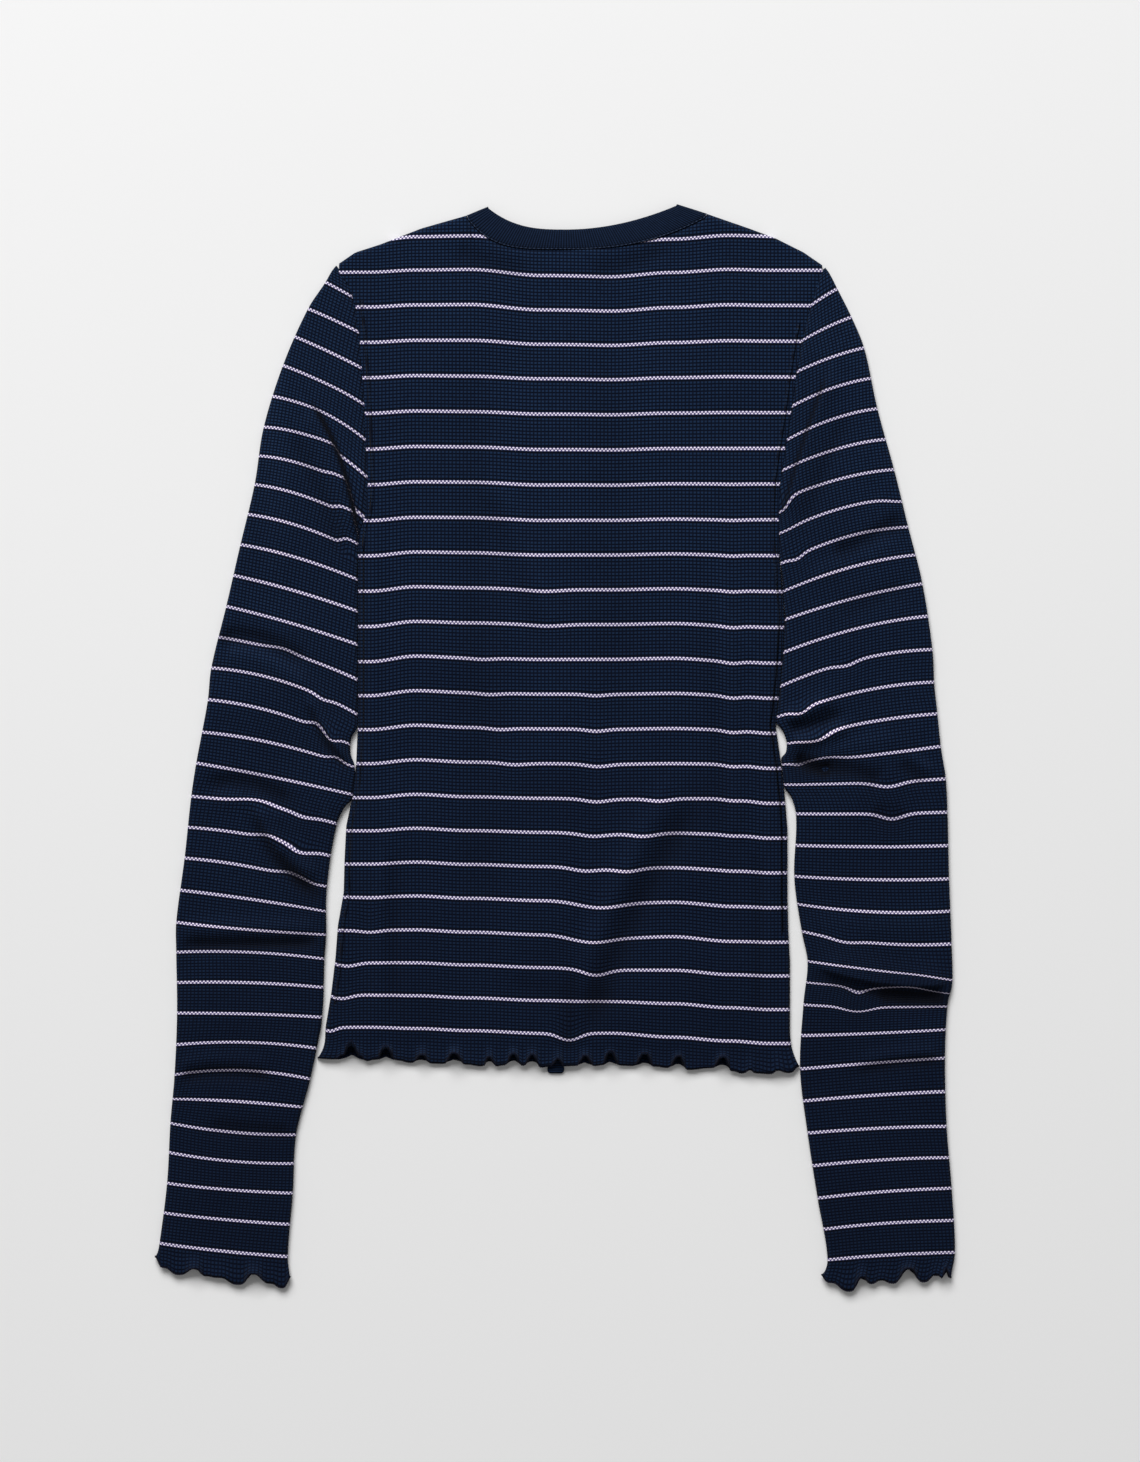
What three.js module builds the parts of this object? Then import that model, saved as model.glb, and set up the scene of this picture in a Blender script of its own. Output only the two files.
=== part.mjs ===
// A long-sleeved knitted top laid flat on its front, with its back up.
// Millimetres. X runs across the garment, Y from hem to neck, Z up from the surface it lies on.
// The origin lies under the button band, about half way up the garment.
// Left and right in names are the wearer's: the wearer's left is at -X here.
import * as THREE from "three";

// Driving sizes
const KNIT_WALL = 1.3;
const THICKEST_WALL = 3.0;
const SEAM_GAP = 0.3;
const SIDE_GAP = 0.6;
const BODY_LOFT = 5.0;
const HEM_LOFT = 4.3;
const SLEEVE_LOFT = 5.4;
const CUFF_LOFT = 4.5;
const BAND_WALL = 2.0;
const BAND_LOFT = 5.2;
const PLACKET_WIDTH = 10.0;
const PLACKET_WALL = 1.2;
const PLACKET_END = -195.5;
const PLACKET_STEP = 0.8;
const PLACKET_CORNER = 2.0;
const PLACKET_LIFT = 1.0;
const PLACKET_LIFT_WIDTH = 12.0;
const PLACKET_LEAN = 16.0;
const PLACKET_LENGTH = 430.0;
const HEM_MIDDLE = -190.0;
const LETTUCE_DEPTH = 12.0;
const LETTUCE_PULL = 0.55;
const LETTUCE_STEP = 3.1;
const LETTUCE_POWER = 1.6;
const BODY_RIM = 2.6;
const HEM_RIM = 2.8;
const NECK_GAP = 0.7;
const NECK_TUCK = 0.4;
const NECK_ROW_SPREAD = 1.4;
const FOLD_FILL = 0.8;
const FOLD_EDGE_MARGIN = 14;
const FRONT_INSET = 0.4;
const UNDERARM_FROM = 112.0;
const UNDERARM_TO = 128.0;
const TIP_LOFT_SHARE = 0.86;
const TOP_STEPS = 7;
const BOTTOM_STEPS = 1;
const CUFF_SHARES = [0.2, 0.5, 0.8, 1];
const NECK_END_TURN = 6;

const NAVY = { color: 0x151f32, roughness: 0.92, metalness: 0.0 };
const NAVY_BAND = { color: 0x192233, roughness: 0.9, metalness: 0.0 };

// The left and right edge of the laid body at each level.
// Above y 130 these edges are the armhole seams, below it the side folds.
const BODY_LEVELS = [
  { y: -190, left: -139, right: 142 },
  { y: -170, left: -138.5, right: 140.5 },
  { y: -149, left: -135, right: 140.5 },
  { y: -128, left: -132.5, right: 140.5 },
  { y: -108, left: -131, right: 139.5 },
  { y: -88, left: -127.5, right: 139 },
  { y: -68, left: -127, right: 139 },
  { y: -48, left: -126, right: 139 },
  { y: -29, left: -122, right: 137.5 },
  { y: -10, left: -120, right: 135.5 },
  { y: 14, left: -119, right: 132 },
  { y: 35, left: -119, right: 134.5 },
  { y: 57, left: -119, right: 136.5 },
  { y: 78, left: -119, right: 137.5 },
  { y: 98, left: -119, right: 136 },
  { y: 116, left: -119, right: 134.2 },
  { y: 128, left: -118, right: 133.7 },
  { y: 138, left: -114.5, right: 133.5 },
  { y: 158, left: -112.8, right: 134.1 },
  { y: 179, left: -114, right: 137.2 },
  { y: 200, left: -114.6, right: 140.7 },
  { y: 221, left: -116.1, right: 143.4 },
  { y: 243, left: -117.6, right: 147 },
  { y: 264, left: -120, right: 151.8 },
  { y: 279, left: -125, right: 157.4 },
  { y: 291, left: -130.2, right: 159.8 },
];

// Height of the back hem's edge, before its waves.
const HEM_LINE = [
  { x: -139, y: -188 },
  { x: 61, y: -193.5 },
  { x: 122, y: -193.5 },
  { x: 142, y: -189.5 },
];

// Height of the shoulder folds, from the sleeve seams in to the neck band.
const SHOULDER_LINE = [
  { x: -130.2, y: 291 },
  { x: -120.6, y: 297.6 },
  { x: -105.6, y: 302.4 },
  { x: -81, y: 312 },
  { x: -53, y: 320 },
  { x: 90, y: 321 },
  { x: 116, y: 312 },
  { x: 132, y: 306 },
  { x: 148.8, y: 297.6 },
  { x: 159.8, y: 290 },
];

// The seam between body and neck band, back and front, and the band's free edge.
const NECK = {
  leftFold: { seam: { x: -53, y: 320 }, free: { x: -40.8, y: 325 } },
  rightFold: { seam: { x: 90, y: 321 }, free: { x: 72.5, y: 326.5 } },
  backSeam: { x: 16, y: 301, leftPower: 5.8, rightPower: 3.4 },
  backFree: { x: 6, y: 311, leftPower: 2.5, rightPower: 1.95 },
  frontSeamDrop: 86,
  frontFreeDrop: 79,
};

// Sections of each sleeve, one for each of the rows of stripes it passes.
// Each runs from the outer fold to the inner fold or armhole seam through a middle point.
const LEFT_SLEEVE = [
  { k: -0.5, ox: -134, oy: 287, mx: -129.5, my: 284.5, ix: -125.5, iy: 282 },
  { k: 0, ox: -138.5, oy: 279.5, mx: -130, my: 275, ix: -122, iy: 270 },
  { k: 1, ox: -149, oy: 263.5, mx: -134, my: 257, ix: -119, iy: 249 },
  { k: 3, ox: -164, oy: 229.5, mx: -140, my: 219.5, ix: -116, iy: 206.5 },
  { k: 5, ox: -175.5, oy: 192.5, mx: -144.5, my: 186, ix: -114, iy: 170 },
  { k: 7, ox: -181, oy: 158, mx: -149.5, my: 150.5, ix: -117, iy: 135 },
  { k: 9, ox: -189.5, oy: 122, mx: -155, my: 114, ix: -120.5, iy: 101 },
  { k: 11, ox: -198, oy: 85, mx: -159.5, my: 75, ix: -120.5, iy: 62 },
  { k: 13, ox: -207, oy: 48, mx: -162.5, my: 39.5, ix: -120, iy: 20 },
  { k: 14, ox: -209, oy: 29, mx: -164, my: 20, ix: -123.5, iy: 2 },
  { k: 15, ox: -212.5, oy: 9.5, mx: -168, my: 2.5, ix: -122.5, iy: -11.5 },
  { k: 16, ox: -216, oy: -9, mx: -170, my: -17.5, ix: -123.5, iy: -28 },
  { k: 17, ox: -219, oy: -29, mx: -173, my: -35, ix: -131.5, iy: -45.5 },
  { k: 19, ox: -223, oy: -66, mx: -179.5, my: -72, ix: -137.5, iy: -83 },
  { k: 21, ox: -228, oy: -104.5, mx: -183.5, my: -109, ix: -138, iy: -112 },
  { k: 22, ox: -228, oy: -122.5, mx: -183.5, my: -122.5, ix: -139, iy: -126.5 },
  { k: 24, ox: -227.5, oy: -159, mx: -183.5, my: -159.5, ix: -140.5, iy: -161.5 },
  { k: 26, ox: -229, oy: -196, mx: -188, my: -193.5, ix: -147.5, iy: -198.5 },
  { k: 28, ox: -231.5, oy: -225, mx: -194, my: -230.5, ix: -156, iy: -232 },
  { k: 30, ox: -233.5, oy: -261, mx: -195.5, my: -265, ix: -158, iy: -267 },
  { k: 32, ox: -238, oy: -299, mx: -200, my: -302.5, ix: -161, iy: -305.5 },
  { k: 32.7, ox: -240.5, oy: -312, mx: -200.5, my: -317.5, ix: -159.5, iy: -319.5 },
];

const RIGHT_SLEEVE = [
  { k: -0.5, ox: 163.5, oy: 285, mx: 159.5, my: 282, ix: 155.5, iy: 279 },
  { k: 0, ox: 169, oy: 275.5, mx: 160.5, my: 270.5, ix: 152.5, iy: 264 },
  { k: 1, ox: 177.5, oy: 258.5, mx: 162, my: 252, ix: 147, iy: 243.5 },
  { k: 2, ox: 185, oy: 240, mx: 164.5, my: 234, ix: 144, iy: 225 },
  { k: 4, ox: 193, oy: 203.5, mx: 165.5, my: 197, ix: 138, iy: 184 },
  { k: 6, ox: 203, oy: 167, mx: 169, my: 161, ix: 134.5, iy: 148 },
  { k: 8, ox: 211.5, oy: 132.5, mx: 174, my: 126.5, ix: 135.5, iy: 110.5 },
  { k: 10, ox: 220, oy: 98.5, mx: 179.5, my: 90, ix: 138, iy: 77 },
  { k: 12, ox: 226, oy: 59, mx: 181, my: 53, ix: 135.5, iy: 37 },
  { k: 13, ox: 227, oy: 39.5, mx: 181, my: 33.5, ix: 133.5, iy: 18.5 },
  { k: 14, ox: 229, oy: 20.5, mx: 182.5, my: 14.5, ix: 138.5, iy: 3 },
  { k: 15, ox: 231, oy: 1, mx: 184, my: -5, ix: 136.5, iy: -10 },
  { k: 16, ox: 234, oy: -18.5, mx: 184.5, my: -21, ix: 138.5, iy: -22 },
  { k: 17, ox: 235, oy: -38.5, mx: 189.5, my: -39.5, ix: 144, iy: -39.5 },
  { k: 19, ox: 236, oy: -78.5, mx: 189.5, my: -79, ix: 143, iy: -77 },
  { k: 21, ox: 237.5, oy: -117.5, mx: 192, my: -117, ix: 147.5, iy: -110 },
  { k: 22, ox: 238, oy: -137, mx: 194, my: -131, ix: 151, iy: -125.5 },
  { k: 24, ox: 235, oy: -155, mx: 189.5, my: -155.5, ix: 148.5, iy: -154 },
  { k: 26, ox: 233.5, oy: -186, mx: 189.5, my: -189, ix: 146.5, iy: -192.5 },
  { k: 28, ox: 234.5, oy: -227, mx: 193, my: -228, ix: 151, iy: -231 },
  { k: 30, ox: 237.5, oy: -264, mx: 197.5, my: -266, ix: 157, iy: -270 },
  { k: 32, ox: 239.5, oy: -302.5, mx: 201, my: -304, ix: 163, iy: -307 },
  { k: 32.7, ox: 237, oy: -314.5, mx: 199, my: -319, ix: 159.5, iy: -319.5 },
];

const CUFF_AT = 32.7;
const CUFF_START = 32.05;

// Soft folds: a ridge from one end to the other, with its half width and its rise.
const BACK_FOLDS = [
  { x1: 86, y1: -16, x2: 22, y2: -128, width: 13, rise: 1.6 },
  { x1: -30, y1: 160, x2: 4, y2: 60, width: 14, rise: 0.7 },
  { x1: -112, y1: -40, x2: -118, y2: -160, width: 9, rise: 0.8 },
  { x1: 104, y1: 60, x2: 112, y2: -60, width: 11, rise: 0.7 },
];
const LEFT_SLEEVE_FOLDS = [
  { x1: -148, y1: 206, x2: -124, y2: 148, width: 9, rise: 1.6 },
  { x1: -205, y1: 76, x2: -150, y2: 68, width: 11, rise: 1.4 },
  { x1: -150, y1: 30, x2: -128, y2: -4, width: 10, rise: 1.8 },
  { x1: -210, y1: -20, x2: -172, y2: -20, width: 10, rise: 1.2 },
  { x1: -178, y1: -40, x2: -146, y2: -76, width: 9, rise: 1.6 },
  { x1: -226, y1: -106, x2: -142, y2: -106, width: 9, rise: 1.5 },
  { x1: -226, y1: -188, x2: -156, y2: -188, width: 9, rise: 1.2 },
];
const RIGHT_SLEEVE_FOLDS = [
  { x1: 166, y1: 222, x2: 142, y2: 152, width: 9, rise: 1.4 },
  { x1: 172, y1: 134, x2: 206, y2: 156, width: 11, rise: 1.2 },
  { x1: 140, y1: 26, x2: 166, y2: 24, width: 8, rise: 2.2 },
  { x1: 150, y1: -2, x2: 220, y2: 4, width: 10, rise: 2.0 },
  { x1: 150, y1: -20, x2: 220, y2: -24, width: 9, rise: 1.3 },
  { x1: 150, y1: -112, x2: 234, y2: -130, width: 9, rise: 2.2 },
  { x1: 190, y1: -180, x2: 230, y2: -178, width: 9, rise: 1.3 },
];

// The wavy edges: each wave's middle across the edge, its half width and its rise.
const HEM_WAVES = [
  { at: -122, width: 5.2, rise: 3.4 },
  { at: -101, width: 5.0, rise: 3.0 },
  { at: -80, width: 4.4, rise: 3.2 },
  { at: -60, width: 4.8, rise: 2.8 },
  { at: -39, width: 4.2, rise: 3.0 },
  { at: -25, width: 4.0, rise: 2.4 },
  { at: 19, width: 4.2, rise: 2.8 },
  { at: 33, width: 4.6, rise: 3.4 },
  { at: 54, width: 4.8, rise: 2.8 },
  { at: 74, width: 4.6, rise: 3.2 },
  { at: 101, width: 5.4, rise: 3.2 },
  { at: 125, width: 4.6, rise: 2.6 },
];
const LEFT_CUFF_WAVES = [
  { at: -216, width: 4.6, rise: 3.0 },
  { at: -199, width: 4.2, rise: 2.6 },
  { at: -181, width: 4.4, rise: 3.2 },
  { at: -169, width: 3.8, rise: 2.2 },
];
const RIGHT_CUFF_WAVES = [
  { at: 173, width: 3.8, rise: 2.4 },
  { at: 184, width: 4.2, rise: 3.2 },
  { at: 199, width: 4.2, rise: 2.6 },
  { at: 213, width: 4.6, rise: 3.0 },
  { at: 229, width: 4.0, rise: 2.6 },
];

function clamp(value, low, high) {
  return Math.min(high, Math.max(low, value));
}

function mix(a, b, t) {
  return a + (b - a) * t;
}

function smooth(t) {
  const c = clamp(t, 0, 1);
  return c * c * (3 - 2 * c);
}

// Straight lines between the rows of a table.
function alongTable(rows, key, column) {
  return (value) => {
    let i = 0;
    while (i < rows.length - 2 && value > rows[i + 1][key]) i += 1;
    const t = (value - rows[i][key]) / (rows[i + 1][key] - rows[i][key]);
    return mix(rows[i][column], rows[i + 1][column], clamp(t, 0, 1));
  };
}

// A smooth curve through the rows of a table, with slopes from each row's neighbours.
function curveThrough(rows, key, column) {
  const slope = (i) => {
    const a = rows[Math.max(0, i - 1)];
    const b = rows[Math.min(rows.length - 1, i + 1)];
    return (b[column] - a[column]) / (b[key] - a[key]);
  };
  return (value) => {
    let i = 0;
    while (i < rows.length - 2 && value > rows[i + 1][key]) i += 1;
    const span = rows[i + 1][key] - rows[i][key];
    const t = clamp((value - rows[i][key]) / span, 0, 1);
    const t2 = t * t;
    const t3 = t2 * t;
    return rows[i][column] * (2 * t3 - 3 * t2 + 1)
      + rows[i + 1][column] * (3 * t2 - 2 * t3)
      + slope(i) * span * (t3 - 2 * t2 + t)
      + slope(i + 1) * span * (t3 - t2);
  };
}

const bodyLeft = alongTable(BODY_LEVELS, "y", "left");
const bodyRight = alongTable(BODY_LEVELS, "y", "right");
const shoulderHeight = alongTable(SHOULDER_LINE, "x", "y");
const hemHeight = alongTable(HEM_LINE, "x", "y");

// The placket and the fronts' inner edges follow a line that leans a little to +X on its way up.
function centreLine(y) {
  return PLACKET_LEAN * (y - HEM_MIDDLE) / PLACKET_LENGTH;
}

function relief(folds, x, y) {
  let sum = 0;
  for (const fold of folds) {
    const dx = fold.x2 - fold.x1;
    const dy = fold.y2 - fold.y1;
    const length = Math.hypot(dx, dy);
    const along = ((x - fold.x1) * dx + (y - fold.y1) * dy) / length;
    const across = ((x - fold.x1) * dy - (y - fold.y1) * dx) / length;
    const fade = smooth((along + fold.width) / (2 * fold.width))
      * smooth((length + fold.width - along) / (2 * fold.width));
    sum += fold.rise * fade * Math.exp(-((across / fold.width) ** 2));
  }
  return sum;
}

// How far the wavy edge has risen at a place across it, for a share of the way to the edge.
function waveRise(waves, across, share) {
  let sum = 0;
  for (const wave of waves) {
    sum += wave.rise * Math.exp(-(((across - wave.at) / wave.width) ** 2));
  }
  return sum * clamp(share, 0, 1) ** LETTUCE_POWER;
}

function hemShare(x, y) {
  return clamp(1 - (y - hemHeight(x)) / LETTUCE_DEPTH, 0, 1);
}

// A cloth surface made of rows of points, thickened inwards to a closed wall.
class Cloth {
  constructor(flipped = false) {
    this.flipped = flipped;
    this.points = [];
    this.walls = [];
    this.faces = [];
  }

  // A row of places, each { x, y, z, at, wall }, where at is the place along the row.
  addRow(places, closed = false) {
    const ids = places.map((place) => {
      this.points.push(new THREE.Vector3(place.x, place.y, place.z));
      this.walls.push(place.wall ?? KNIT_WALL);
      return this.points.length - 1;
    });
    const at = places.map((place) => place.at);
    if (closed) {
      ids.push(ids[0]);
      at.push(2);
    }
    return { ids, at };
  }

  addFace(a, b, c) {
    if (a === b || b === c || c === a) return;
    this.faces.push(this.flipped ? [a, c, b] : [a, b, c]);
  }

  // Triangles between two rows, whatever the number of points in each.
  join(first, second) {
    let i = 0;
    let j = 0;
    while (i < first.ids.length - 1 || j < second.ids.length - 1) {
      const nextFirst = i < first.ids.length - 1 ? first.at[i + 1] : Infinity;
      const nextSecond = j < second.ids.length - 1 ? second.at[j + 1] : Infinity;
      if (nextFirst <= nextSecond) {
        this.addFace(first.ids[i], first.ids[i + 1], second.ids[j]);
        i += 1;
      } else {
        this.addFace(first.ids[i], second.ids[j + 1], second.ids[j]);
        j += 1;
      }
    }
  }

  joinAll(rows) {
    for (let i = 1; i < rows.length; i += 1) this.join(rows[i - 1], rows[i]);
  }

  normals() {
    const sums = this.points.map(() => new THREE.Vector3());
    for (const [a, b, c] of this.faces) {
      const ab = this.points[b].clone().sub(this.points[a]);
      const ac = this.points[c].clone().sub(this.points[a]);
      const cross = ab.cross(ac);
      for (const id of [a, b, c]) sums[id].add(cross);
    }
    return sums.map((sum) => sum.normalize());
  }

  // The cloth's free edges, each from one point to the next as its own face runs.
  openEdges() {
    const seen = new Map();
    for (const face of this.faces) {
      for (let i = 0; i < 3; i += 1) {
        const a = face[i];
        const b = face[(i + 1) % 3];
        seen.set(`${a} ${b}`, [a, b]);
      }
    }
    return [...seen.values()].filter(([a, b]) => !seen.has(`${b} ${a}`));
  }

  thicken() {
    const count = this.points.length;
    const normals = this.normals();
    const inner = this.points.map((point, i) => point.clone().addScaledVector(normals[i], -this.walls[i]));
    const index = [];
    for (const [a, b, c] of this.faces) {
      index.push(a, b, c);
      index.push(count + a, count + c, count + b);
    }
    for (const [a, b] of this.openEdges()) {
      index.push(b, a, count + a);
      index.push(b, count + a, count + b);
    }
    const positions = [...this.points, ...inner].flatMap((point) => [point.x, point.y, point.z]);
    const geometry = new THREE.BufferGeometry();
    geometry.setAttribute("position", new THREE.Float32BufferAttribute(positions, 3));
    geometry.setIndex(index);
    geometry.computeVertexNormals();
    return geometry;
  }
}

function clothMesh(name, geometry, look) {
  const mesh = new THREE.Mesh(geometry, new THREE.MeshStandardMaterial(look));
  mesh.name = name;
  return mesh;
}

// The back neck seam, as a height at each place across the neck.
function neckCurve(curve, leftEnd, rightEnd, x) {
  if (x < curve.x) {
    const share = (curve.x - x) / (curve.x - leftEnd.x);
    return curve.y + (leftEnd.y - curve.y) * share ** curve.leftPower;
  }
  const share = (x - curve.x) / (rightEnd.x - curve.x);
  return curve.y + (rightEnd.y - curve.y) * share ** curve.rightPower;
}

// Places along the back neck, as shares of the way from the left fold to the right one.
const BACK_NECK_SHARES = [0, 0.04, 0.1, 0.18, 0.32, 0.5, 0.66, 0.79, 0.89, 0.96, 1];

// The end of the upper or lower face at a fold, where the band has just turned over.
function besideFold(point) {
  return { x: point.x, y: point.y - BAND_LOFT / 2 };
}

function backNeckPair(share) {
  const { leftFold, rightFold, backSeam, backFree } = NECK;
  const curves = [["seam", backSeam], ["free", backFree]].map(([edge, curve]) => {
    const left = besideFold(leftFold[edge]);
    const right = besideFold(rightFold[edge]);
    const x = mix(left.x, right.x, share);
    return { x, y: neckCurve(curve, left, right, x) };
  });
  return { seam: curves[0], free: curves[1] };
}

// The front neck, as half ellipses that hang from the two folds. Turn runs from -90 to 90 degrees.
function frontNeckPoint(leftEnd, rightEnd, drop, turn) {
  const middle = (leftEnd.x + rightEnd.x) / 2;
  const half = (rightEnd.x - leftEnd.x) / 2;
  const angle = THREE.MathUtils.degToRad(turn);
  const share = (Math.sin(angle) + 1) / 2;
  return {
    x: middle + half * Math.sin(angle),
    y: mix(leftEnd.y, rightEnd.y, share) - drop * Math.cos(angle),
  };
}

function frontNeckPair(turn) {
  const { leftFold, rightFold, frontSeamDrop, frontFreeDrop } = NECK;
  const ends = ["seam", "free"].map((edge) => [besideFold(leftFold[edge]), besideFold(rightFold[edge])]);
  return {
    seam: frontNeckPoint(...ends[0], frontSeamDrop, turn),
    free: frontNeckPoint(...ends[1], frontFreeDrop, turn),
  };
}

const FRONT_NECK_TURNS = [90, 80, 68, 54, 39, 23, 10];

// Levels of the body's rows, and the finer levels of its wavy hem.
const BODY_ROWS = BODY_LEVELS.map((level) => level.y).filter((y) => y > -175);
const HEM_SHARES = [1, 0.8, 0.5, 0.2];
const EDGE_TURNS = [0, 45, 90];

// Height of the back's upper face over the surface.
function backLoft(x, y) {
  const share = hemShare(x, y);
  const overPlacket = PLACKET_LIFT * Math.exp(-(((x - centreLine(y)) / PLACKET_LIFT_WIDTH) ** 2));
  const inside = smooth(Math.min(x - bodyLeft(y), bodyRight(y) - x) / FOLD_EDGE_MARGIN);
  return mix(BODY_LOFT, HEM_LOFT, share) + overPlacket + inside * relief(BACK_FOLDS, x, y);
}

// Wall of the back, thicker where it gathers in folds, so that no hollow is left under them.
function backWall(x, y) {
  return clamp(KNIT_WALL + FOLD_FILL * relief(BACK_FOLDS, x, y), KNIT_WALL, THICKEST_WALL);
}

// Across the back: the folded edge's turns, even steps between, and the folded edge again.
function backColumns(level, steps) {
  const left = bodyLeft(level);
  const right = bodyRight(level);
  const radius = BODY_LOFT - BODY_RIM;
  const folded = 1 - smooth((level - UNDERARM_FROM) / (UNDERARM_TO - UNDERARM_FROM));
  const inset = (turn) => radius * (1 - Math.cos(THREE.MathUtils.degToRad(turn)));
  const edge = EDGE_TURNS.map((turn) => ({
    x: left + inset(turn),
    sunk: folded * (1 - Math.sin(THREE.MathUtils.degToRad(turn))),
  }));
  const first = left + inset(90);
  const last = right - inset(90);
  const middle = steps.map((share) => ({ x: mix(first, last, share), sunk: 0 }));
  const other = [...edge].reverse().map(({ x, sunk }) => ({ x: right - (x - left), sunk }));
  return [...edge, ...middle, ...other];
}

// Steps across the back that pass through the neck seam's points at the top row.
function backSteps() {
  const top = BODY_LEVELS[BODY_LEVELS.length - 1];
  const radius = BODY_LOFT - BODY_RIM;
  const first = top.left + radius;
  const last = top.right - radius;
  const across = [-110, -92, -72, NECK.leftFold.seam.x - SIDE_GAP];
  for (const share of BACK_NECK_SHARES) across.push(backNeckPair(share).seam.x + (share - 0.5) * NECK_TUCK);
  across.push(NECK.rightFold.seam.x + SIDE_GAP, 108, 128, 146);
  return across.map((x) => (x - first) / (last - first));
}

// The back's top edge: the shoulder folds, and the neck seam between them.
function backTop(x) {
  const left = besideFold(NECK.leftFold.seam);
  const right = besideFold(NECK.rightFold.seam);
  if (x < left.x - SEAM_GAP || x > right.x + SEAM_GAP) return { y: shoulderHeight(x), folded: 1 };
  return { y: neckCurve(NECK.backSeam, left, right, x) - NECK_GAP, folded: 0 };
}

function backRow(steps, share, inset) {
  const bottom = BODY_LEVELS[0].y;
  const top = BODY_LEVELS[BODY_LEVELS.length - 1].y;
  const level = mix(bottom, top, share);
  const tops = backColumns(top, steps).map((column) => backTop(column.x));
  const shoulderRadius = BODY_LOFT - BODY_RIM;
  return backColumns(level, steps).map((column, i) => {
    const base = hemHeight(column.x);
    const full = mix(base, tops[i].y, share);
    const y = full - inset * (tops[i].folded ? 1 : NECK_ROW_SPREAD);
    const topSunk = tops[i].folded * (share === 1 ? 1 - Math.sin(Math.acos(1 - inset / shoulderRadius)) : 0);
    const sunk = Math.max(column.sunk, topSunk);
    const loft = backLoft(column.x, y);
    return {
      x: column.x,
      y,
      z: mix(loft, BODY_RIM, clamp(sunk, 0, 1)),
      at: i / (steps.length + 2 * EDGE_TURNS.length - 1),
      wall: backWall(column.x, y),
    };
  });
}

// A row of the wavy hem, share 1 at its edge.
function hemRow(xs, share, lift, sinkAt) {
  const first = xs[0];
  const last = xs[xs.length - 1];
  return xs.map((x) => {
    const rise = waveRise(HEM_WAVES, x, share);
    const base = hemHeight(x) + LETTUCE_DEPTH * (1 - share);
    const y = base + LETTUCE_PULL * rise;
    return { x, y, z: rise + lift(x, base) - sinkAt(x, base), at: (x - first) / (last - first) };
  });
}

function evenSteps(from, to, step) {
  const count = Math.max(2, Math.round((to - from) / step));
  return Array.from({ length: count + 1 }, (_, i) => mix(from, to, i / count));
}

function backPanel() {
  const cloth = new Cloth();
  const steps = backSteps();
  const radius = HEM_LOFT - HEM_RIM;
  const sink = (x, y) => {
    const off = Math.min(x - bodyLeft(y), bodyRight(y) - x);
    if (off >= radius) return 0;
    return radius - Math.sqrt(Math.max(0, radius ** 2 - (radius - off) ** 2));
  };
  const rows = HEM_SHARES.map((share) => {
    const y = hemHeight(0) + LETTUCE_DEPTH * (1 - share);
    const left = bodyLeft(y);
    const right = bodyRight(y);
    const inset = radius * (1 - Math.cos(Math.PI / 4));
    const inner = evenSteps(left + radius, right - radius, LETTUCE_STEP);
    const xs = [left, left + inset, ...inner, right - inset, right];
    return cloth.addRow(hemRow(xs, share, backLoft, sink));
  });
  const bottom = BODY_LEVELS[0].y;
  const top = BODY_LEVELS[BODY_LEVELS.length - 1].y;
  for (const level of BODY_ROWS) {
    if (level < top) rows.push(cloth.addRow(backRow(steps, (level - bottom) / (top - bottom), 0)));
  }
  const shoulderRadius = BODY_LOFT - BODY_RIM;
  for (const inset of [shoulderRadius, 0.3 * shoulderRadius, 0]) {
    rows.push(cloth.addRow(backRow(steps, 1, inset)));
  }
  cloth.joinAll(rows);
  return clothMesh("back", cloth.thicken(), NAVY);
}

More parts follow.
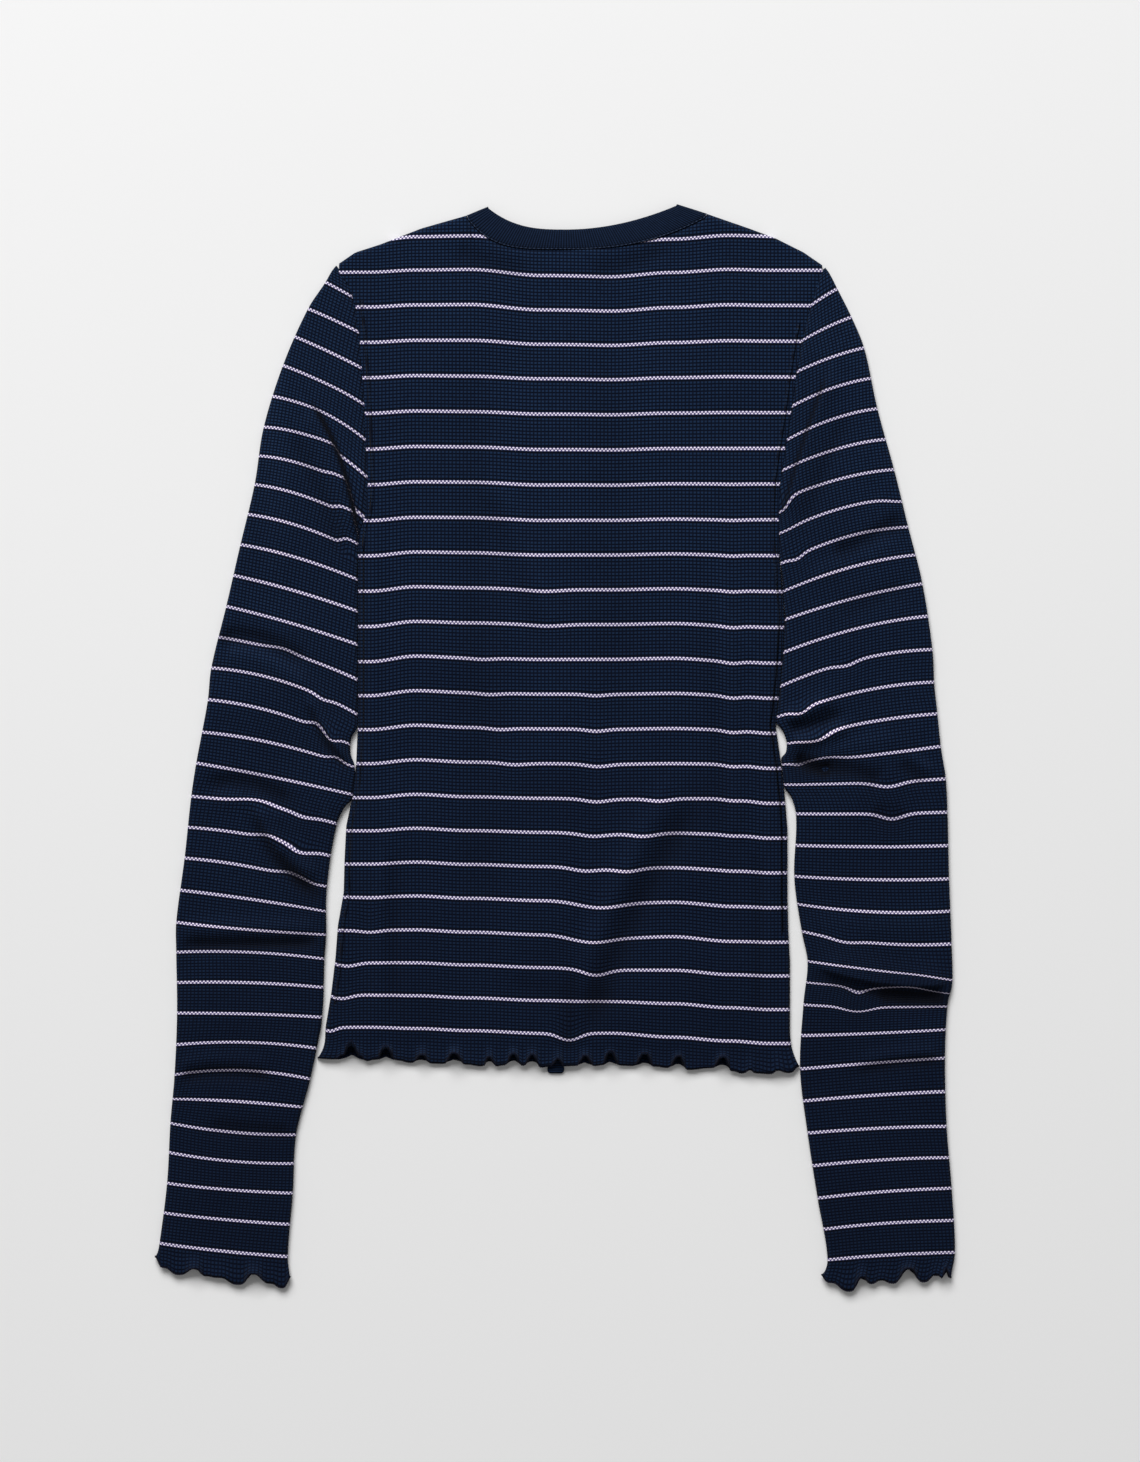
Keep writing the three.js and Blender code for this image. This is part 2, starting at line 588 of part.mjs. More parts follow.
// One front: its lower face lies on the surface, and its edges stop under the back's.
function frontPanel(side) {
  const cloth = new Cloth(side > 0);
  const outer = side < 0 ? bodyLeft : bodyRight;
  const fold = side < 0 ? NECK.leftFold : NECK.rightFold;
  const outside = (y) => outer(y) - side * FRONT_INSET;
  const inside = (y) => centreLine(y) + side * (PLACKET_WIDTH / 2 + SEAM_GAP);
  const top = BODY_LEVELS[BODY_LEVELS.length - 1].y;
  const shoulder = [0, 0.3, 0.65, 1].map((share) => {
    const x = mix(outside(top), fold.seam.x + side * SEAM_GAP, share);
    return { x, y: shoulderHeight(x) - FRONT_INSET };
  });
  const neck = FRONT_NECK_TURNS.slice(1).map((turn) => {
    const { seam } = frontNeckPair(side * turn);
    return { x: seam.x + side * NECK_GAP, y: seam.y - SEAM_GAP };
  });
  const lastSeam = frontNeckPair(side * NECK_END_TURN).seam;
  const topEdge = [...shoulder, ...neck, { x: inside(lastSeam.y), y: lastSeam.y - SEAM_GAP }];
  const count = topEdge.length - 1;
  const rows = HEM_SHARES.map((share) => {
    const level = hemHeight(0) + LETTUCE_DEPTH * (1 - share);
    const xs = evenSteps(outside(level), inside(level), side * LETTUCE_STEP * -1);
    const flat = () => 0;
    return cloth.addRow(hemRow(xs, share, flat, flat));
  });
  const bottom = BODY_LEVELS[0].y;
  for (const level of BODY_ROWS) {
    const share = (level - bottom) / (top - bottom);
    const firstX = topEdge[0].x;
    const lastX = topEdge[count].x;
    const neckX = shoulder[shoulder.length - 1].x;
    rows.push(cloth.addRow(topEdge.map((place) => {
      const y = mix(hemHeight(0), place.y, share);
      const nearSide = clamp((neckX - place.x) / (neckX - firstX), 0, 1);
      const nearCentre = clamp((place.x - neckX) / (lastX - neckX), 0, 1);
      const x = place.x + nearSide * (outside(level) - outside(top)) + nearCentre * (inside(y) - lastX);
      return { x, y, z: 0, at: (place.x - firstX) / (lastX - firstX) };
    })));
  }
  cloth.joinAll(rows.reverse());
  const name = side < 0 ? "front_left" : "front_right";
  return clothMesh(name, cloth.thicken(), NAVY);
}

// One sleeve: a flattened tube, open at the cuff and slit above the underarm for the armhole.
function sleeve(name, side, sections, folds, waves, closedFrom, rowPlaces) {
  const cloth = new Cloth(side > 0);
  const column = (key) => curveThrough(sections, "k", key);
  const [ox, oy, mx, my, ix, iy] = ["ox", "oy", "mx", "my", "ix", "iy"].map(column);
  const bodyEdge = side < 0 ? bodyLeft : bodyRight;

  // From the inner edge, share 0, to the outer fold, share 1.
  const planAt = (k) => {
    const innerY = iy(k);
    const limit = bodyEdge(innerY) + side * SIDE_GAP;
    const joined = k < closedFrom;
    const innerX = joined ? limit : side * Math.max(side * ix(k), side * limit);
    return (share) => {
      const a = (1 - share) * (1 - 2 * share);
      const b = 4 * share * (1 - share);
      const c = share * (2 * share - 1);
      return {
        x: a * innerX + b * mx(k) + c * ox(k),
        y: a * innerY + b * my(k) + c * oy(k),
      };
    };
  };

  const placeRow = (k, topCount, bottomCount) => {
    const plan = planAt(k);
    const ends = [plan(0), plan(1)];
    const width = Math.hypot(ends[1].x - ends[0].x, ends[1].y - ends[0].y);
    const edgeShare = clamp((k - CUFF_START) / (CUFF_AT - CUFF_START), 0, 1);
    const loft = mix(SLEEVE_LOFT, CUFF_LOFT, edgeShare) * mix(TIP_LOFT_SHARE, 1, smooth(k - sections[0].k));
    const radius = loft / 2;
    const turn = radius / width;
    const corner = turn * (1 - Math.SQRT1_2);
    const closed = k >= closedFrom;
    const places = [];
    const add = (share, z, at, raised) => {
      const spot = plan(share);
      const rise = waveRise(waves, spot.x, edgeShare);
      const room = smooth(Math.min(share, 1 - share) * width / FOLD_EDGE_MARGIN);
      const gather = raised ? room * relief(folds, spot.x, spot.y) : 0;
      places.push({
        x: spot.x,
        y: spot.y + LETTUCE_PULL * rise,
        z: z + rise + gather,
        at,
        wall: clamp(KNIT_WALL + FOLD_FILL * gather, KNIT_WALL, THICKEST_WALL),
      });
    };
    const start = closed ? turn : 0;
    if (closed) {
      add(0, radius, 0, false);
      add(corner, radius * (1 + Math.SQRT1_2), corner, false);
    }
    for (let i = 0; i <= topCount; i += 1) {
      const share = mix(start, 1 - turn, i / topCount);
      add(share, loft, share, true);
    }
    add(1 - corner, radius * (1 + Math.SQRT1_2), 1 - corner, false);
    add(1, radius, 1, false);
    add(1 - corner, radius * (1 - Math.SQRT1_2), 1 + corner, false);
    for (let i = 0; i <= bottomCount; i += 1) {
      const share = mix(1 - turn, start, i / bottomCount);
      add(share, 0, 2 - share, false);
    }
    if (closed) add(corner, radius * (1 - Math.SQRT1_2), 2 - corner, false);
    return cloth.addRow(places, closed);
  };

  const rows = rowPlaces.map((k) => placeRow(k, TOP_STEPS, BOTTOM_STEPS));
  const cuffWidth = Math.abs(ox(CUFF_AT) - ix(CUFF_AT));
  const fine = Math.round(cuffWidth / LETTUCE_STEP);
  for (const share of CUFF_SHARES) {
    rows.push(placeRow(mix(CUFF_START, CUFF_AT, share), fine, fine));
  }
  cloth.joinAll(rows);
  return clothMesh(name, cloth.thicken(), NAVY);
}

// Places of a sleeve's rows: even steps down to the cuff, with more where it is gathered.
function sleeveRows(gathers, closedFrom) {
  const places = [];
  for (let k = -0.5; k < CUFF_START + 0.01; k += 1) {
    places.push(k);
    if (gathers.some(({ from, to }) => k >= from && k < to)) places.push(k + 0.5);
  }
  return places.map((k) => (Math.abs(k - closedFrom) < 0.25 ? closedFrom : k));
}

// The neck band: one strip from the placket up the left front, round the back and down again.
function neckBand() {
  const cloth = new Cloth(true);
  const radius = BAND_LOFT / 2;
  const rows = [];
  const shares = [0, 0.5, 1];
  const addPair = (pair, z, push) => {
    const places = shares.map((share) => ({
      x: mix(pair.seam.x, pair.free.x, share) + push.x,
      y: mix(pair.seam.y, pair.free.y, share) + push.y,
      z,
      at: share,
      wall: BAND_WALL,
    }));
    rows.push(cloth.addRow(places));
  };
  const still = { x: 0, y: 0 };
  const endPair = (side) => {
    const pair = frontNeckPair(side * NECK_END_TURN);
    pair.seam.x = centreLine(pair.seam.y) + side * (PLACKET_WIDTH / 2 + SEAM_GAP);
    pair.free.x = centreLine(pair.free.y) + side * (PLACKET_WIDTH / 2 + SEAM_GAP);
    return pair;
  };

  addPair(endPair(-1), 0, still);
  for (const turn of [...FRONT_NECK_TURNS].reverse()) {
    if (turn < 90) addPair(frontNeckPair(-turn), 0, still);
  }
  for (const [fold, way] of [[NECK.leftFold, 1], [NECK.rightFold, -1]]) {
    for (const angle of [-90, -45, 0, 45, 90]) {
      const turned = THREE.MathUtils.degToRad(way * angle);
      const out = radius * (Math.cos(turned) - 1);
      addPair(fold, radius * (1 + Math.sin(turned)), { x: 0, y: out });
    }
    if (way > 0) {
      for (const share of BACK_NECK_SHARES.slice(1, -1)) addPair(backNeckPair(share), BAND_LOFT, still);
    }
  }
  for (const turn of FRONT_NECK_TURNS) {
    if (turn < 90) addPair(frontNeckPair(turn), 0, still);
  }
  addPair(endPair(1), 0, still);
  cloth.joinAll(rows);
  return clothMesh("neck_band", cloth.thicken(), NAVY_BAND);
}

// A placket band: a narrow strip with a rounded lower end, flat on what lies under it.
function placketBand(name, z, end) {
  const half = PLACKET_WIDTH / 2;
  const top = frontNeckPair(0).free.y;
  const shape = new THREE.Shape();
  shape.moveTo(centreLine(end) - half + PLACKET_CORNER, end);
  shape.lineTo(centreLine(end) + half - PLACKET_CORNER, end);
  shape.quadraticCurveTo(centreLine(end) + half, end, centreLine(end) + half, end + PLACKET_CORNER);
  shape.lineTo(centreLine(top) + half, top);
  shape.lineTo(centreLine(top) - half, top);
  shape.lineTo(centreLine(end) - half, end + PLACKET_CORNER);
  shape.quadraticCurveTo(centreLine(end) - half, end, centreLine(end) - half + PLACKET_CORNER, end);
  const geometry = new THREE.ExtrudeGeometry(shape, { depth: PLACKET_WALL, bevelEnabled: false, curveSegments: 4 });
  geometry.translate(0, 0, z);
  return clothMesh(name, geometry, NAVY_BAND);
}

// Where each sleeve's tube closes below its armhole, and where its rows lie closer for the folds.
const LEFT_CLOSED_FROM = 7.5;
const RIGHT_CLOSED_FROM = 6.5;
const LEFT_GATHERS = [
  { from: 3, to: 8 },
  { from: 12, to: 19 },
  { from: 20, to: 23 },
];
const RIGHT_GATHERS = [
  { from: 3, to: 8 },
  { from: 12, to: 18 },
  { from: 20, to: 24 },
];

const top = new THREE.Group();
top.add(backPanel());
top.add(frontPanel(-1));
top.add(frontPanel(1));
top.add(sleeve("sleeve_left", -1, LEFT_SLEEVE, LEFT_SLEEVE_FOLDS, LEFT_CUFF_WAVES, LEFT_CLOSED_FROM,
  sleeveRows(LEFT_GATHERS, LEFT_CLOSED_FROM)));
top.add(sleeve("sleeve_right", 1, RIGHT_SLEEVE, RIGHT_SLEEVE_FOLDS, RIGHT_CUFF_WAVES, RIGHT_CLOSED_FROM,
  sleeveRows(RIGHT_GATHERS, RIGHT_CLOSED_FROM)));
top.add(neckBand());
top.add(placketBand("placket_over", 0, PLACKET_END));
top.add(placketBand("placket_under", PLACKET_WALL + SEAM_GAP, PLACKET_END + PLACKET_STEP));

export default top;
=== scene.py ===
import math
from collections import namedtuple

import bpy
import numpy as np
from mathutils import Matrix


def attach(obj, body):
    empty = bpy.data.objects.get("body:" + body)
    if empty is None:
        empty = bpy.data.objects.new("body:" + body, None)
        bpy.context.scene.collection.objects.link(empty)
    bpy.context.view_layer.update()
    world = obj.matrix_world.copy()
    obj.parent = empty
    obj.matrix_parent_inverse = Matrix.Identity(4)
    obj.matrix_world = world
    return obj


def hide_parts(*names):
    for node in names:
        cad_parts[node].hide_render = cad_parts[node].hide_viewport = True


bl_info = {
    "name": "Striped knitted top laid flat",
    "version": (1, 0, 0),
    "blender": (4, 5, 0),
    "location": "3D View > Sidebar > Knitted Top",
    "description": "Builds the cloth, edges and stitches of a waffle knit top over its packed solids",
    "category": "Object",
}

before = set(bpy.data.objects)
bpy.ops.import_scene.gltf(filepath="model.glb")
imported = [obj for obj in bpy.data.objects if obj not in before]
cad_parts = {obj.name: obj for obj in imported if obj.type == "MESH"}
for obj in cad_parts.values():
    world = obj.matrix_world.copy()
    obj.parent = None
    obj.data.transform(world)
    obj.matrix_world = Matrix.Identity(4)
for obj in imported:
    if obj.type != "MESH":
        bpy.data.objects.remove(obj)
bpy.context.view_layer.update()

MM = 0.001

# Photo frame: what the camera sees on the floor, in millimetres
FRAME_HEIGHT = 877.2
FRAME_MIDDLE = (8.4, 10.2)
LENS = 100.0
SENSOR = 36.0
CAMERA_RISE = 4.0

# Lights: place and width in metres, power in watts; then the room's own light and the floor, in metres
Lamp = namedtuple("Lamp", "name x y z width power")
LAMPS = [
    Lamp("key_light", -0.9, 3.5, 3.7, 3.0, 296.0),
    Lamp("fill_light", 0.5, -1.0, 2.6, 3.0, 5.0),
]
ROOM_LIGHT = 0.19
FLOOR_HALF = 12.0
FLOOR_DROP = 0.0002

# Cloth as it was cut: width and length in metres, and its area where it isn't a rectangle
Cut = namedtuple("Cut", "width length area")

# Heights over the floor and walls of the cloth, in millimetres
WALL = 0.9
BODY_LOFT = 5.0
SEAM_LOFT = 4.5
SIDE_RIM = 1.6
FRONT_TOP = 1.15
SLEEVE_LOFT = 5.4
CUFF_LOFT = 4.2
TUCK_LOFT = 3.2
TUCK = 0.9
SIDE_GAP = -0.05
TOUCH = 1.8
BOTTOM_GAP = 0.35
SEAM_DIP_WIDTH = 4.0
SEAM_GAP = 0.3
RELIEF = 1.5
ARMHOLE_START = 112.0
ARMHOLE_BLEND = 16.0

# The neck band and its stitches
BAND_LOFT = 5.2
BAND_WALL = 1.3
BAND_PUFF = 0.5
SEAM_STITCH_SHIFT = (0.0, 0.45, 0.35)
FREE_ROLL = 0.4

# The placket, and the swell it makes in the back over it
PLACKET_WIDTH = 10.0
PLACKET_WALL = 1.2
PLACKET_PUFF = 0.12
PLACKET_THIN = 0.14
PLACKET_CORNER = 2.0
PLACKET_END = -195.5
PLACKET_STEP = 0.8
PLACKET_LEAN = 16.0
PLACKET_LENGTH = 430.0
PLACKET_RISE = 0.9
PLACKET_RISE_WIDTH = 12.0

# The wavy hem and cuffs: how far the waves reach in, their painted light and dark edge, and the fronts' share
# of them
HEM_MIDDLE = -190.0
RUFFLE_DEPTH = 15.0
RUFFLE_POWER = 2.0
LIFT_POWER = 2.2
HEM_LIGHT = 0.8
CUFF_LIGHT = 0.35
EDGE_DARK = 1.5
EDGE_SINK = 0.9
HEM_CURL = 9.0
CUFF_CURL = 6.0
FLARE = 4.0
FLARE_WIDTH = 14.0
FRONT_RECESS = 0.28
FRONT_LIFT = 0.34
FRONT_INSET = 0.4
FRONT_SHORTER = 1.0
FRONT_SIDE_WIDTH = 2.2
FRONT_SIDE_RISE = 0.25
CUFF_UNDER_PULL = 0.9
CUFF_UNDER_LIFT = 0.5
EDGE_START = 0.93
CUFF_EDGE_START = 0.9
CUFF_FROM = 31.95
CUFF_TO = 32.7
TIP_LOFT = 0.86

# How far from a piece's edges its folds reach full height, and the share of a fold's line that fades
BACK_CALM = 14.0
SLEEVE_CALM = 9.0
FOLD_FADE = 0.16
FOLD_END = 0.2

# How closely each mesh is divided
BACK_STEP = 1.8
BACK_LENGTH = 480.0
BACK_MARGIN = 0.012
BACK_TOP = 0.974
ROLL_STEPS = 5
HEM_SHARE = 0.03
HEM_ROWS = 12
FRONT_ROWS = 120
FRONT_HEM_ROWS = 8
FRONT_SHOULDER = 22
FRONT_NECK_TURNS = np.linspace(84, 6, 34)
BAND_ACROSS = 9
BAND_TURNS = np.linspace(6, 88, 40)
BAND_BACK = 90
BAND_FOLD_TURNS = np.radians(np.linspace(-90, 90, 13))
PLACKET_ROWS = 160
SLEEVE_ROW = 0.098
CUFF_ROWS = 14
SLEEVE_OVER = 54
SLEEVE_UNDER = 14
SLEEVE_ANGLES = np.radians(np.arange(0.0, 181.0, 15.0))

# The knit: stripe's solid core and rim, its dark edge's start and end, in stripe pitches; and its dots
STRIPE_RIM = (0.041, 0.056)
SHADE_START = (0.056, 0.066)
SHADE_END = (0.095, 0.125)
DOT_OFFSET = 0.025
DOT_WIDE = 0.38
DOT_TALL = 0.030
# How far painted shade in folds darkens the knit towards the deep colour
FOLD_PAINTED_SHADE = 0.93
BAND_GAP_TONE = 0.22
FLOOR_TONE = 1.02
# Painted light: the colour that lit folds and curls are multiplied by
FOLD_LIGHT = (1.9, 1.75, 1.6, 1.0)

# Stripes: the height of the body's second one, the pitches and the last one of body and sleeve
STRIPE_ONE = 282.6
STRIPE_PITCH = 20.73
SLEEVE_PITCH = 18.6
LAST_BODY_STRIPE = 23
LAST_SLEEVE_STRIPE = 32

# The left and right edge of the laid body at each level: armhole seams above y 130, side folds below
Level = namedtuple("Level", "y left right")
BODY_LEVELS = [
    Level(-190, -139, 142), Level(-170, -138.5, 140.5), Level(-149, -135, 140.5),
    Level(-128, -132.5, 140.5), Level(-108, -131, 139.5), Level(-88, -127.5, 139), Level(-68, -127, 139),
    Level(-48, -126, 139), Level(-29, -122, 137.5), Level(-10, -120, 135.5), Level(14, -119, 132),
    Level(35, -119, 134.5), Level(57, -119, 136.5), Level(78, -119, 137.5), Level(98, -119, 136),
    Level(116, -119, 134.2), Level(128, -118, 133.7), Level(138, -114.5, 133.5), Level(158, -112.8, 134.1),
    Level(179, -114, 137.2), Level(200, -114.6, 140.7), Level(221, -116.1, 143.4), Level(243, -117.6, 147),
    Level(264, -120, 151.8), Level(279, -125, 157.4), Level(291, -130.2, 159.8),
]

# Height of the back hem's edge before its waves, and of the shoulder folds
Line = namedtuple("Line", "x y")
HEM_LINE = [Line(-139, -188), Line(61, -192.5), Line(122, -193.5), Line(142, -190)]
SHOULDER_LINE = [
    Line(-130.2, 291), Line(-120.6, 297.6), Line(-105.6, 302.4), Line(-81, 312), Line(-53, 320),
    Line(90, 321), Line(116, 312), Line(132, 306), Line(148.8, 297.6), Line(159.8, 290),
]

# The neck seam and the band's free edge: folds at the shoulders, and the curves between them
Bend = namedtuple("Bend", "x y left_power right_power")
LEFT_SEAM_FOLD = Line(-53, 320)
LEFT_FREE_FOLD = Line(-40.8, 325)
RIGHT_SEAM_FOLD = Line(90, 321)
RIGHT_FREE_FOLD = Line(72.5, 326.5)
BACK_SEAM = Bend(6, 299, 4.2, 2.4)
BACK_FREE = Bend(6, 311, 2.9, 1.95)
FRONT_SEAM_DROP = 86
FRONT_FREE_DROP = 79
NECK_TUCK = 0.9
NECK_GAP = 0.7
NECK_BLEND = 10.0

# Sections of each sleeve at its stripes, from the outer fold through a middle point to the inner edge
Section = namedtuple("Section", "k ox oy mx my ix iy")
LEFT_SLEEVE = [
    Section(-0.8, -132, 289.6, -130, 287.2, -128, 284.8),
    Section(-0.5, -134.6, 286.4, -130, 283.8, -126, 281), Section(0, -138.5, 279.5, -130, 275, -122, 270),
    Section(1, -149, 263.5, -134, 257, -119, 249), Section(3, -164, 229.5, -140, 219.5, -116, 206.5),
    Section(5, -175.5, 192.5, -144.5, 186, -114, 170), Section(7, -181, 158, -149.5, 150.5, -117, 135),
    Section(9, -189.5, 122, -155, 114, -120.5, 101), Section(11, -198, 85, -159.5, 75, -120.5, 62),
    Section(13, -207, 48, -162.5, 39.5, -120, 20), Section(14, -209, 29, -164, 20, -123.5, 2),
    Section(15, -212.5, 9.5, -168, 2.5, -122.5, -11.5), Section(16, -216, -9, -170, -17.5, -123.5, -28),
    Section(17, -219, -29, -173, -35, -131.5, -45.5), Section(19, -223, -66, -179.5, -72, -137.5, -83),
    Section(21, -228, -104.5, -183.5, -109, -138, -112),
    Section(22, -228, -122.5, -183.5, -122.5, -139, -126.5),
    Section(24, -227.5, -159, -183.5, -159.5, -140.5, -161.5),
    Section(26, -229, -196, -188, -193.5, -147.5, -198.5),
    Section(28, -231.5, -225, -194, -230.5, -156, -232),
    Section(30, -233.5, -261, -195.5, -265, -158, -267), Section(32, -238, -297, -200, -301.8, -161, -305),
    Section(32.7, -240.5, -312, -200.5, -317.5, -159.5, -319.5),
]
RIGHT_SLEEVE = [
    Section(-0.8, 161.8, 288.4, 159.8, 286, 157.8, 283.6),
    Section(-0.5, 164.4, 284.6, 159.8, 281.8, 156, 278.6), Section(0, 169, 275.5, 160.5, 270.5, 152.5, 264),
    Section(1, 177.5, 258.5, 162, 252, 147, 243.5), Section(2, 185, 240, 164.5, 234, 144, 225),
    Section(4, 193, 203.5, 165.5, 197, 138, 184), Section(6, 203, 167, 169, 161, 134.5, 148),
    Section(8, 211.5, 132.5, 174, 126.5, 135.5, 110.5), Section(10, 220, 98.5, 179.5, 90, 138, 77),
    Section(12, 226, 59, 181, 53, 135.5, 37), Section(13, 227, 39.5, 181, 33.5, 133.5, 18.5),
    Section(14, 229, 20.5, 182.5, 14.5, 138.5, 3), Section(15, 231, 1, 184, -5, 136.5, -10),
    Section(16, 234, -18.5, 184.5, -21, 138.5, -22), Section(17, 235, -38.5, 189.5, -39.5, 144, -39.5),
    Section(19, 236, -78.5, 189.5, -79, 143, -77), Section(21, 237.5, -117.5, 192, -117, 147.5, -110),
    Section(22, 238, -139.5, 194, -133.5, 151, -128), Section(24, 235, -155, 189.5, -155.5, 148.5, -154),
    Section(26, 233.5, -186, 189.5, -189, 146.5, -192.5), Section(28, 234.5, -227, 193, -228, 151, -231),
    Section(30, 237.5, -264, 197.5, -266, 157, -270), Section(32, 239.5, -302.5, 201, -304, 163, -307),
    Section(32.7, 237, -314.5, 199, -319, 159.5, -319.5),
]

# How far the back's stripes stray from even spacing, in millimetres up, at places across it
DRIFT_PLACES = (-112, -84, -52, -8, 32, 70, 104, 128)
Drift = namedtuple("Drift", "k side left mid_left centre mid_right right far_right far_side")
STRIPE_DRIFT = [
    Drift(0, 1.2, 3.2, 3.8, 0.7, 0, 1.8, 4, 3.6), Drift(1, 3, 4.3, 4.6, 0.7, 0, 2.7, 4.5, 4),
    Drift(4, 1.6, 2.8, 2.6, 1, 0.5, 1.6, 2.2, 2), Drift(8, -1.1, 0.8, 0.7, -1, -0.9, -0.3, -0.7, -0.6),
    Drift(12, -2.9, 0.5, -0.6, -1.5, -1.4, -0.8, -2.5, -3.7),
    Drift(16, -1.5, 0.5, -1, -1.9, -2.5, -2.1, -2.1, -4.9),
    Drift(20, 1.8, 2.2, 0.8, -0.8, -3.3, -2, -4.8, -5.4), Drift(23, 6.4, 5.4, 4.1, 2.4, 2.6, 0, -2.3, -3.8),
]

# Folds along a bent line of three points: half widths on its left and right, rise (or fall), how much painted
# shade it gets (below 0, painted light) and how wide that is
Fold = namedtuple("Fold", "x1 y1 x2 y2 x3 y3 left right rise dark wide")
BACK_FOLDS = [
    Fold(72, -20, 26, -90, 8, -172, 9, 9, 1.9, -0.22, 8),
    Fold(86, -30, 42, -96, 16, -176, 8, 9, -1.7, 0.42, 9),
    Fold(12, -132, 6, -160, 8, -186, 6, 6, -1, 0.35, 5),
    Fold(-36.6, 161, -15, 118, 2.4, 65, 8, 8, 0.9, -0.10, 7),
    Fold(-44, 155, -24, 110, -8, 60, 8, 8, -0.8, 0.15, 7),
    Fold(-50, 250, -46, 60, -44, -120, 14, 14, -0.9, 0.14, 14),
    Fold(34, 240, 36, 100, 40, 0, 14, 14, -0.8, 0.12, 14),
    Fold(-104, -60, -108, -110, -106, -168, 5, 5, 1, -0.12, 4),
    Fold(-96, -60, -99, -110, -96, -160, 5, 5, -0.7, 0.18, 4),
    Fold(98, 118, 106, 20, 107, -60, 6, 8, 0.9, -0.10, 5),
    Fold(90, 110, 97, 20, 98, -60, 6, 6, -0.7, 0.15, 6),
    Fold(-110, 150, -113, 60, -112, -30, 6, 5, 0.9, -0.10, 4),
    Fold(126, 60, 129, -30, 128, -150, 5, 6, 0.9, -0.10, 4),
    Fold(121, -60, 122, -110, 121, -170, 4, 4, -0.7, 0.22, 4),
    Fold(-60, 300, -46, 290, -14, 286, 6, 6, -0.8, 0.30, 6),
    Fold(66, 302, 50, 290, 18, 285, 6, 6, -0.8, 0.30, 6),
    Fold(-30, -140, 0, -150, 40, -152, 6, 6, -0.6, 0.18, 7),
]
LEFT_SLEEVE_FOLDS = [
    Fold(-148, 206, -126, 178, -119, 125, 2.5, 8, 2.2, 0, 2),
    Fold(-147, 207, -125, 178, -118.5, 124, 2, 1.6, -1.2, 1.4, 1.6),
    Fold(-160, 190, -140, 160, -128, 110, 5, 5, -0.9, 0.30, 6),
    Fold(-208, 67, -175, 72, -148, 50, 4, 8, -1.7, 0.50, 6),
    Fold(-200, 56, -172, 60, -146, 34, 5, 6, 1.4, -0.30, 6),
    Fold(-150, 34, -138, 4, -123, -6, 6, 3, 2, -0.35, 3),
    Fold(-148, 28, -140, 0, -124, -12, 2.5, 3, -1.4, 0.65, 3),
    Fold(-212, -22, -180, -14, -158, -34, 4, 7, -1.6, 0.50, 5),
    Fold(-208, -32, -182, -26, -160, -46, 5, 5, 1.2, -0.25, 5),
    Fold(-181, -31, -170, -66, -140, -76, 6, 4, 1.9, -0.35, 4),
    Fold(-180, -38, -172, -74, -142, -86, 2.5, 4, -1.4, 0.60, 4),
    Fold(-166, -60, -156, -80, -140, -92, 4, 4, -1, 0.40, 5),
    Fold(-228, -108, -183, -106, -139, -108, 5, 5, 1.2, -0.20, 5),
    Fold(-228, -118, -183, -118, -139, -117, 4, 3, -2.2, 0.75, 4),
    Fold(-229, -190, -198, -182, -170, -190, 5, 4, 1.2, -0.20, 4),
    Fold(-229, -199, -198, -191, -170, -199, 3, 4, -1.8, 0.60, 4),
    Fold(-210.6, -227, -183, -229, -155.4, -231.6, 4, 5, -1.2, 0.40, 5),
    Fold(-176, 240, -160, 150, -170, 90, 10, 10, 0.7, -0.15, 9),
]
RIGHT_SLEEVE_FOLDS = [
    Fold(165, 227.4, 150, 190, 135.6, 137, 8, 2.5, 2.2, 0, 2),
    Fold(163, 226, 148.5, 189, 134.5, 137, 1.6, 2, -1.2, 0.75, 1.7),
    Fold(176, 200, 160, 170, 148, 130, 5, 5, -0.8, 0.25, 6),
    Fold(165, 116, 190, 124, 210, 140, 4, 8, -1.7, 0.45, 7),
    Fold(150, 102, 176, 112, 205, 126, 6, 6, 1, -0.20, 6),
    Fold(168, 78, 192, 92, 215, 97, 7, 7, -0.9, 0.22, 7),
    Fold(134.4, 17.4, 150, 20, 166, 30, 6, 3.5, 2.6, -0.40, 4),
    Fold(138, 12, 154, 12, 172, 22, 3, 3, -1.6, 0.55, 3.5),
    Fold(139, 4, 160, 4, 176, 14, 4, 4, 2.8, -0.45, 4), Fold(158, -4, 178, 4, 205, 6, 5, 5, 0.8, -0.20, 5),
    Fold(143, -5, 152, -12, 166, -14, 4, 4, -2.6, 0.95, 5.5),
    Fold(158, -10.8, 180, -12, 196, -20, 5, 5, -1.6, 0.60, 6),
    Fold(212, -4, 220, -10, 226, -14, 3, 3, 1.2, -0.30, 3),
    Fold(208, -8, 214, -16, 222, -20, 3, 3, -1, 0.45, 4),
    Fold(190, -36, 200, -44, 210, -40, 5, 5, -1, 0.35, 6),
    Fold(156, -104, 196, -108, 236, -106, 8, 8, 0.9, -0.20, 8),
    Fold(154.8, -130, 196, -146, 238, -141, 12, 1.6, 3, -0.30, 4),
    Fold(153, -135, 196, -153, 238, -148, 3, 3, -0.8, 0.60, 3.5),
    Fold(192, -147, 212, -151, 236, -150, 4, 4, -0.8, 0.95, 5),
    Fold(182.4, -189, 204, -182, 234, -182, 5, 3, 1.4, -0.20, 4),
    Fold(178, -194, 204, -188, 234, -188, 3, 3, -0.9, 0.60, 4),
]

# Lines where the stripes jump: how far down they have gone by its end on its left and on its right, in
# stripe pitches, and how far off that is felt
Jump = namedtuple("Jump", "x1 y1 x2 y2 x3 y3 left right left_reach right_reach")
LEFT_SLEEVE_JUMPS = [
    Jump(-147, 207, -125, 178, -118.5, 124, 1.12, -0.24, 60, 14),
]

